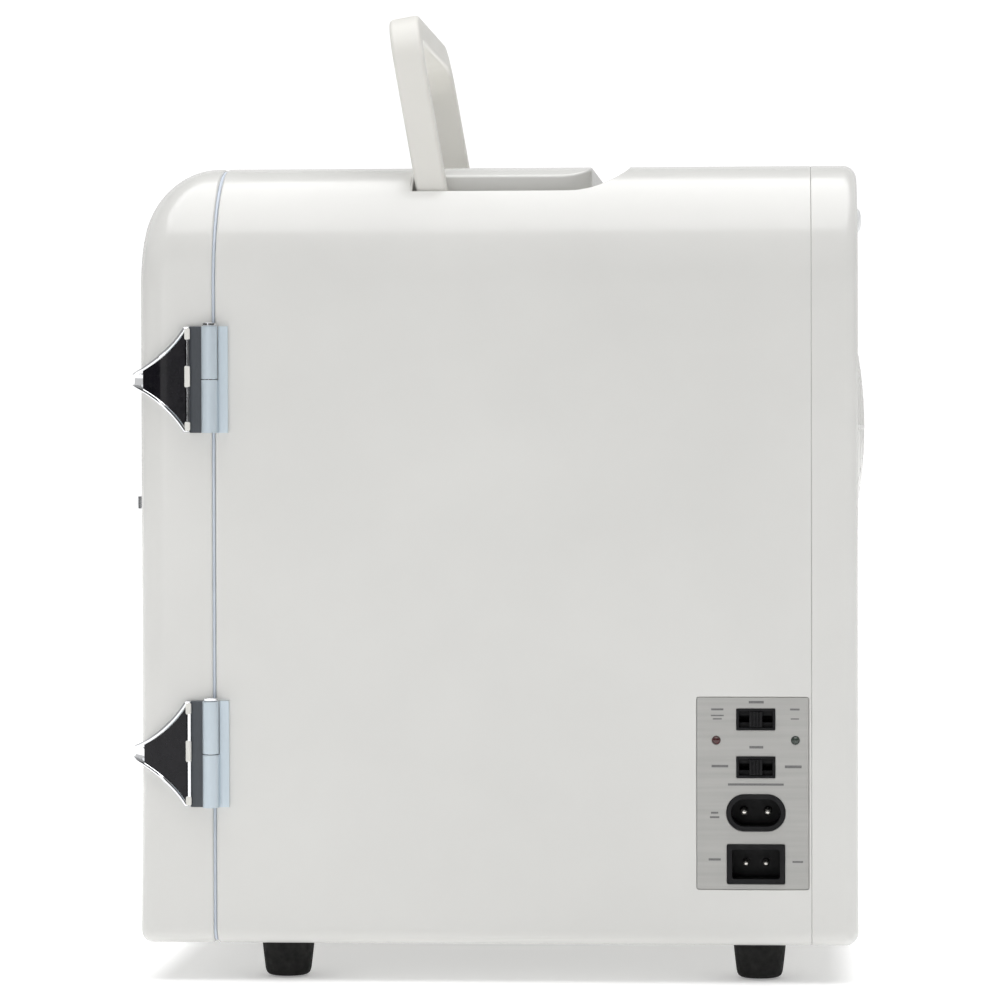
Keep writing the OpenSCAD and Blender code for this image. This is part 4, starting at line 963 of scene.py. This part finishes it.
def strap_loop(chain, h, z, side):
    upper = [wrap(p, t, h, z, side) for p, t in chain]
    lower = [wrap(p, -t, h, z, side) for p, t in chain]
    return upper + lower[-2:0:-1]


def strap_cap(shape, ring):
    """Closes a loop made by strap_loop with strips across its middle line."""
    for i in range(len(ring) // 2):
        corners = list(dict.fromkeys((ring[i], ring[i + 1], ring[-i - 1], ring[-i])))
        if len(corners) > 2:
            shape.faces.append(tuple(corners))


def capped_loft(rings):
    shape = Shape()
    made = shape.loft(rings, caps=False)
    strap_cap(shape, made[0])
    strap_cap(shape, made[-1])
    return shape


def spearhead(z, side=1, sunk=True):
    """The chromed spearhead: a rounded rim round a sunk face, or a plain crowned plate."""
    chain = strap_chain()
    levels = [(0, 0.1), (0, 2.0), (0.12, 2.5), (0.4, 2.95), (0.8, STRAP_T), (1.1, STRAP_T)]
    rings = [strap_loop(inset_chain(chain, d), h, z, side) for d, h in levels]
    if sunk:
        rings += [strap_loop(face_chain(chain, RIM + d), h, z, side)
                  for d, h in ((-0.2, 3.15), (0, 2.95), (0.05, 2.5))]
    return capped_loft(rings)


def dark_reflection_face(z):
    """The black face that lies in the rim, very slightly crowned; its black is a painted dark reflection of
    the room in the chromed face.
    """
    return capped_loft([strap_loop(face_chain(strap_chain(), RIM + d), h, z, 1)
                        for d, h in ((0.13, 2.52), (0.13, 2.85), (0.3, 3.0))])


HINGE_X, HINGE_Y, BARREL_R, LEAF_T = 101.4, 26.6, 2.9, 1.4
HIGHLIGHT_PADS = ((14.4, 18.6), (-2.8, 5.0), (-18.6, -15.2))  # ends of the white pads that paint highlights on the chromed base edge, up from the hinge's middle


def barrel_shape(z0, z1):
    r, edge = BARREL_R, 0.35
    profile = [(0.01, z0), (r - edge, z0), (r - 0.1, z0 + 0.1), (r, z0 + edge),
               (r, z1 - edge), (r - 0.1, z1 - 0.1), (r - edge, z1), (0.01, z1)]
    return lathe(profile, lambda u, v, s: (HINGE_X + u, HINGE_Y + v, s))


def rounded_box(low, high, r):
    """A box with its edges along X rounded, and its X faces slightly chamfered."""
    rings = [(-r * 0.8, low[0]), (0, low[0] + r * 0.8), (0, high[0] - r * 0.8), (-r * 0.8, high[0])]
    return lofted([[(x, y, z) for y, z in rounded_loop(low[1], low[2], high[1], high[2], r + 0.3, g, 4)]
                   for g, x in rings])


def hinge(prefix, strap_node):
    """The moving half of a hinge round its strap's node. Returns its middle height."""
    low, high = mm_box(strap_node)
    z, half, gap, outside = (low.z + high.z) / 2, (high.z - low.z) / 2, 0.15, HALF_W + LEAF_T
    piece(prefix + "_spearhead", spearhead(z), strap_node)
    wing = rounded_box((HALF_W + 0.1, STRAP_BASE_Y - 0.6, z - half), (outside, 24.1, z + half), 0.25)
    wing_obj = piece(prefix + "_wing", wing, strap_node, stands_for=())
    # the flat leaf gets the dark sheet, a painted dark reflection of the chrome
    wing_obj.data.materials[0] = dark_reflection_leaf
    web = Shape().box((HINGE_X - BARREL_R, 23.7, z + gap), (outside + 0.2, HINGE_Y, z + half))
    piece(prefix + "_knuckle", join_shapes(barrel_shape(z + gap, z + half), web), strap_node,
          slot="hinge_metal", stands_for=())
    # white pads on the spearhead's base edge: painted highlights of the chrome
    for i, (a, b) in enumerate(HIGHLIGHT_PADS):
        highlight_pad = rounded_box((HALF_W + 2.4, 17.5, z + a),
                          (HALF_W + STRAP_T + 0.1, STRAP_BASE_Y + 0.1, z + b), 0.3)
        piece(f"{prefix}_pad_{i + 1}", highlight_pad, strap_node, slot="handle_white", stands_for=())
    return z


# ---- Small parts ----

BUMPER_X, BUMPER_Z, FEET_X, FEET_Y = 70, 275, 78, (52, 224.4)


def feet():
    top_r, height, recess_r, recess_h = 9.6, BASE_Z, 4.2, 5
    profile = [(2.2, recess_h), (recess_r - 0.3, recess_h), (recess_r, recess_h - 0.3), (recess_r, 0.5),
               (recess_r + 0.5, 0), (6.3, 0), (7.1, 0.25), (7.8, 0.8), (8.2, 1.6), (8.45, 2.6), (9.1, 8),
               (top_r - 0.1, height - 1.2), (top_r, height - 0.6), (top_r - 0.15, height - 0.2),
               (top_r - 0.6, height), (2.2, height)]
    shapes = [lathe(profile, lambda u, v, s, x=x, y=y: (x + u, y + v, s), closed=True)
              for x in (-FEET_X, FEET_X) for y in FEET_Y]
    piece("moulded_feet", join_shapes(*shapes), "rubber_feet")


def bumpers():
    """Two low domed buttons that keep the cabinet's back off a wall."""
    y0, y1 = COVER_BACK, mm_box("rear_bumpers")[1].y
    profile = [(0.01, y1), (2, y1 - 0.12), (3.4, y1 - 0.5), (4.2, y1 - 1.0), (4.5, y0), (4.5, y0 - 1),
               (0.01, y0 - 1)]
    shapes = [lathe(profile, lambda u, v, s, x=x: (x + u, s, BUMPER_Z + v), 40)
              for x in (-BUMPER_X, BUMPER_X)]
    piece("wall_buttons", join_shapes(*shapes), "rear_bumpers")


CONTROL_Y = 223.2


def control_plate():
    lo, hi, y = plate_low, plate_high, CONTROL_Y
    plate = lofted([[(x, y, z) for y, z in rounded_loop(lo.y, lo.z, hi.y, hi.z, 0.8, g, 4)]
                    for g, x in ((0, lo.x), (0, hi.x - 0.15), (-0.15, hi.x))])
    # openings for the switches, the indicators, the mains inlet and the low-voltage inlet
    holes = [lambda g, z=z: rounded_loop(y - 7, z - 3.9, y + 7, z + 3.9, 0.3, g, 3) for z in (95, 77.8)]
    holes += [lambda g, y=y: circle_loop(y, 87.5, 1.6, g, 32) for y in (209, 237.4)]
    holes.append(lambda g: rounded_loop(y - 10.65, 54.7, y + 10.65, 68.1, 6.6, g, 12))
    holes.append(lambda g: rounded_loop(y - 10.45, 35.7, y + 10.45, 50.1, 0.5, g, 3))
    cuts = [sunk_cutter(hole, lambda y, z, h: (hi.x + h, y, z), 0.12, 4) for hole in holes]
    carved_piece("control_plate_finished", plate, "control_plate", cuts)


# Plain index bars beside the switches and inlets: middle Y, middle Z, width, height
INDEX_BARS = (
    (223.4, 101.2, 5.4, 0.9), (209.4, 98.6, 4.4, 0.7), (209.4, 96.4, 4.6, 0.5), (209.4, 95.2, 3.2, 0.5),
    (237.2, 98.6, 3.4, 0.7), (237.2, 95.2, 3.0, 0.45), (223.4, 85.0, 5.0, 0.9), (210.3, 78.2, 6.0, 0.9),
    (236.6, 78.0, 6.0, 1.0), (223.2, 71.6, 20.0, 0.8), (208.4, 61.4, 2.6, 0.7), (208.4, 59.8, 3.4, 0.7),
    (208.4, 44.6, 4.4, 0.8), (238.2, 43.8, 3.8, 0.7),
)


def index_bars():
    x = plate_high.x
    bars = [Shape().box((x - 0.05, y - w / 2, z - h / 2), (x + 0.02, y + w / 2, z + h / 2))
            for y, z, w, h in INDEX_BARS]
    obj = piece("panel_index_bars", join_shapes(*bars), "control_plate", stands_for=())
    obj.data.materials[0] = print_grey()


def fan_guard():
    """Rings and spokes that follow a shallow dome, in a flat rim."""
    y_back, rise, base_r = COVER_BACK, 4, 36
    dome_r = (base_r**2 + rise**2) / (2 * rise)
    dome = lambda r: y_back + rise - dome_r + math.sqrt(dome_r**2 - r * r)
    back = lambda u, v, s: (u, s, FAN_Z + v)
    parts, width, thick, edge, pitch, radius = [], 2.2, 1.8, 0.45, 5.4, 7.0
    while radius < base_r:
        inner = radius - width
        y_out, y_in = dome(radius), dome(inner)
        profile = [(radius, y_out - thick), (radius, y_out - edge), (radius - edge, y_out + 0.02),
                   (inner + edge, y_in - 0.02), (inner, y_in - edge), (inner, y_in - thick)]
        parts.append(lathe(profile, back, 72, closed=True))
        radius += pitch
    rim = [(38, y_back - 2.5), (38, y_back + 0.4), (37.6, y_back + 0.8), (36, y_back + 0.8),
           (35.6, y_back + 0.4), (35.6, y_back - 2.5)]
    parts.append(lathe(rim, back, 96, closed=True))
    section = [(-1.1, -0.9), (1.1, -0.9), (1.1, 0.45), (0.65, 0.9), (-0.65, 0.9), (-1.1, 0.45)]
    for k in range(4):
        a = math.radians(45 * k)
        path = [(r * math.cos(a), dome(r) - 0.9, FAN_Z + r * math.sin(a))
                for r in steps(-36.2, 36.2, 24)]
        spoke = Shape()
        sweep(spoke, path, section, up=(0, 1, 0))
        parts.append(spoke)
    piece("fan_grille", join_shapes(*parts), "fan_guard")


def wire_shelf():
    low, high = mm_box("wire_shelf")
    r_frame, r_wire, corner = 1.5, 1.0, 6
    z = low.z + r_frame
    x1, y0, y1 = high.x - r_frame, low.y + 1.5, high.y - 1.5
    shape = Shape()
    loop = [(x, y, z) for x, y in rounded_loop(-x1, y0, x1, y1, corner, 0, 8)]
    sweep(shape, loop, circle_loop(0, 0, r_frame, count=14), closed=True)
    sweep(shape, [(-x1, (y0 + y1) / 2, z), (x1, (y0 + y1) / 2, z)], circle_loop(0, 0, 1.2, count=12))
    for i in range(-5, 6):
        x, top = i * 11.5, z + r_frame + r_wire - 0.5
        path = [(x, y0 - 0.4, z + 0.3), (x, y0 + 0.5, top - 0.3), (x, y0 + 2.5, top)]
        path += [(x, y1 - 2.5, top), (x, y1 - 0.5, top - 0.3), (x, y1 + 0.4, z + 0.3)]
        sweep(shape, path, circle_loop(0, 0, r_wire, count=12), up=(1, 0, 0))
    piece("shelf_wires", shape, "wire_shelf")


def lamp():
    """A low-pressure tube: clear glass drawn in at its ends, with a coiled electrode at each."""
    low, high = mm_box("uv_lamp")
    y, z, r = (low.y + high.y) / 2, (low.z + high.z) / 2, (high.z - low.z) / 2
    wall, post_x, post_end, post_z, coil_r, turns, per_turn = 0.8, 50, 61, 2.2, 0.7, 7, 8
    ends = [(2, high.x + 1), (5, high.x), (r - 0.6, high.x - 2), (r, high.x - 5)]
    profile = ends + [(a, -b) for a, b in reversed(ends)]
    inner = [(max(a - wall, 1), b - (wall if b > 0 else -wall)) for a, b in reversed(profile)]
    tube = lathe(profile + inner, lambda u, v, s: (s, y + u, z + v), 40, closed=True)
    piece("lamp_tube", tube, "uv_lamp")
    electrodes = Shape()
    for side in (-1, 1):
        for dz in (-post_z, post_z):
            sweep(electrodes, [(side * post_end, y, z + dz), (side * post_x, y, z + dz)],
                  circle_loop(0, 0, 0.35, count=8))
        coil = []
        for i, up in enumerate(steps(-post_z, post_z, turns * per_turn)):
            a = i / per_turn * 2 * math.pi
            coil.append((side * post_x + coil_r * math.cos(a), y + coil_r * math.sin(a), z + up))
        sweep(electrodes, coil, circle_loop(0, 0, 0.16, count=6))
    piece("lamp_electrodes", electrodes, "uv_lamp", slot="steel", stands_for=())


def blade_section(share):
    """A cambered section, as (along, lift) points round it, and its pitch; share is 0 at the hub."""
    chord = lerp(15, 18.5, share)
    section = []
    for side in (1, -1):
        for u in steps(-side, side, 8):
            thick = 0.75 * math.sqrt(max(0.04, 1 - u * u)) * side
            section.append((u * chord / 2, 1.6 * (1 - u * u) + thick - 0.8))
    return section, math.radians(lerp(48, 30, share))


def fan_rotor():
    """A hub with curved, twisted blades."""
    low, high = mm_box("fan_rotor")
    y0, y1, hub_r, tip_r, blades = low.y, high.y, 16, 36.5, 7
    hub = [(1.6, y0), (hub_r - 0.6, y0), (hub_r, y0 + 0.6), (hub_r, y1 - 1.6), (hub_r - 0.5, y1 - 0.5),
           (hub_r - 1.6, y1), (6, y1), (5.6, y1 - 0.4), (1.6, y1 - 0.4)]
    parts = [lathe(hub, lambda u, v, s: (u, s, FAN_Z + v), closed=True)]
    middle = (y0 + y1) / 2
    for k in range(blades):
        rings = []
        for r in steps(hub_r - 1, tip_r, 10):
            share = (r - hub_r) / (tip_r - hub_r)
            section, pitch = blade_section(max(0, share))
            c, s = math.cos(pitch), math.sin(pitch)
            ring = []
            for along, lift in section:
                a = 2 * math.pi * k / blades + (along * c - lift * s) / r + 0.12 * share
                axial = max(-7.6, min(7.6, along * s + lift * c))
                ring.append((r * math.cos(a), middle + axial, FAN_Z + r * math.sin(a)))
            rings.append(ring)
        parts.append(lofted(rings))
    piece("fan_blades", join_shapes(*parts), "fan_rotor")


# ---- Putting the pieces together ----

dark_reflection_leaf = dark_reflection_steel()
door_skin()
door_liner()
door_gasket()
outer_shell()
rear_cover()
front_frame()
chamber_liner()
carry_handle()
feet()
bumpers()
door_foam()
control_plate()
index_bars()
fan_guard()
wire_shelf()
lamp()
fan_rotor()
hinge_zs = [hinge("upper_hinge", "upper_hinge_strap"), hinge("lower_hinge", "lower_hinge_strap")]
# the hinges' black faces: a painted dark reflection in the chrome
piece("hinge_dark_reflection", join_shapes(*[dark_reflection_face(z) for z in hinge_zs]), "hinge_inlays")
latch_low, latch_high = mm_box("latch_plate")
piece("latch_spearhead", spearhead((latch_low.z + latch_high.z) / 2, side=-1, sunk=False), "latch_plate")

# How far the edges of the other parts are rounded, in millimetres
EDGES = {
    "insulation": 0.0, "cover_screws": 0.15, "foot_screws": 0.15,
    "power_switch_housing": 0.2, "power_switch_slider": 0.12, "mode_switch_housing": 0.2,
    "mode_switch_slider": 0.12, "power_indicator": 0.0, "mode_indicator": 0.0, "ac_inlet": 0.3,
    "ac_inlet_pins": 0.0, "dc_inlet": 0.3, "dc_inlet_pins": 0.0, "circuit_board": 0.1, "board_screws": 0.1,
    "board_parts": 0.4, "wiring": 0.0, "cold_plate": 0.5, "spacer_block": 0.3,
    "thermoelectric_module": 0.2, "heat_sink": 0.2, "sink_screws": 0.2, "fan_frame": 0.3,
    "fan_screws": 0.2, "handle_pins": 0.3, "lamp_caps": 0.25, "lamp_holders": 0.8,
    "lamp_reflector": 0.3, "reed_switch": 0.5, "upper_hinge_leaf": 0.25, "lower_hinge_leaf": 0.25,
    "hinge_pins": 0.2, "leaf_screws": 0.15, "latch_keeper": 0.35,
    "door_bins": 0.4, "door_magnet": 0.3, "strap_screws": 0.15, "latch_lever": 0.8, "latch_pin": 0.3,
    "latch_spring": 0.0,
}
for node_name, edge_size in EDGES.items():
    refined(node_name, edge_size)

# ---- Floor, light and camera ----

ROOM_LIGHT = 0.08
BACKDROP_LIGHT = 0.65
FLOOR_GLOW = 0.28


def floor():
    size, z = 7.0, -0.0005
    mesh = bpy.data.meshes.new("floor")
    corners = [(-size, -size, z), (size, -size, z), (size, size, z), (-size, size, z)]
    mesh.from_pydata(corners, [], [(0, 1, 2, 3)])
    obj = new_object("floor", mesh)
    s = Surface("floor_paper", (0.9, 0.9, 0.9), 0.9)
    s.tint(s.noise(2), (0.89, 0.89, 0.89), (0.91, 0.91, 0.91))
    s.set(Emission_Color=(1, 1, 1, 1), Emission_Strength=FLOOR_GLOW)
    mesh.materials.append(s.material)


def soft_sun(name, strength, spread):
    """Light from a wide patch of ceiling; spread is the patch's width in degrees."""
    data = bpy.data.lights.new(name, "SUN")
    data.energy = strength
    data.angle = math.radians(spread)
    new_object(name, data)


def strip_light(name, place, target, size, power):
    """A tall soft box off to the front of the right-hand side, which draws a line down the door's edge."""
    data = bpy.data.lights.new(name, "AREA")
    data.shape = "RECTANGLE"
    data.size, data.size_y = size
    data.energy = power
    light = new_object(name, data)
    light.location = place
    light.rotation_euler = (Vector(target) - Vector(place)).to_track_quat("-Z", "Y").to_euler()
    light.visible_camera = False


def world():
    """White behind everything, with a dimmer room for the light that reaches the object."""
    w = bpy.data.worlds.new("studio")
    bpy.context.scene.world = w
    w.use_nodes = True
    tree = w.node_tree
    link = tree.links.new
    # a white backdrop low down on the far side of the cabinet, seen in the chrome
    split = add_node(tree, "SeparateXYZ")
    link(add_node(tree, "TexCoord").outputs["Generated"], split.inputs["Vector"])
    both = add_node(tree, "Math")
    both.operation = "MULTIPLY"
    for axis, start, end, socket in (("X", -0.35, -0.75, 0), ("Z", 0.5, 0.3, 1)):
        share = add_node(tree, "MapRange", From_Min=start, From_Max=end)
        share.interpolation_type = "SMOOTHSTEP"
        link(split.outputs[axis], share.inputs["Value"])
        link(share.outputs["Result"], both.inputs[socket])
    level = add_node(tree, "MapRange", To_Min=ROOM_LIGHT, To_Max=BACKDROP_LIGHT)
    link(both.outputs["Value"], level.inputs["Value"])
    room = tree.nodes["Background"]
    room.inputs["Color"].default_value = (1, 1, 1, 1)
    link(level.outputs["Result"], room.inputs["Strength"])
    white = add_node(tree, "Background", Color=(1, 1, 1, 1), Strength=1.1)
    mix = add_node(tree, "MixShader")
    link(add_node(tree, "LightPath").outputs["Is Camera Ray"], mix.inputs["Fac"])
    link(room.outputs["Background"], mix.inputs[1])
    link(white.outputs["Background"], mix.inputs[2])
    link(mix.outputs["Shader"], tree.nodes["World Output"].inputs["Surface"])


def camera():
    """Level with the cabinet's upper half, well out to its right, a little behind its middle."""
    data = bpy.data.cameras.new("camera")
    data.lens = 155.3
    data.clip_end = 50
    obj = new_object("camera", data)
    obj.location = (1.648, 0.115, 0.200)
    target = Vector((0.1015, 0.0136, 0.174))
    look = (target - obj.location).to_track_quat("-Z", "Y")
    roll = Matrix.Rotation(math.radians(-0.14), 3, "Z")
    obj.rotation_euler = (look.to_matrix() @ roll).to_euler()
    bpy.context.scene.camera = obj


bpy.context.scene.view_settings.view_transform = "Standard"
floor()
world()
soft_sun("overhead", 2.7, 70)
soft_sun("ceiling", 0.75, 140)
strip_light("strip", (2.88, -0.80, 0.5), (0, 0, 0.17), (0.6, 2.0), 5.0)
camera()
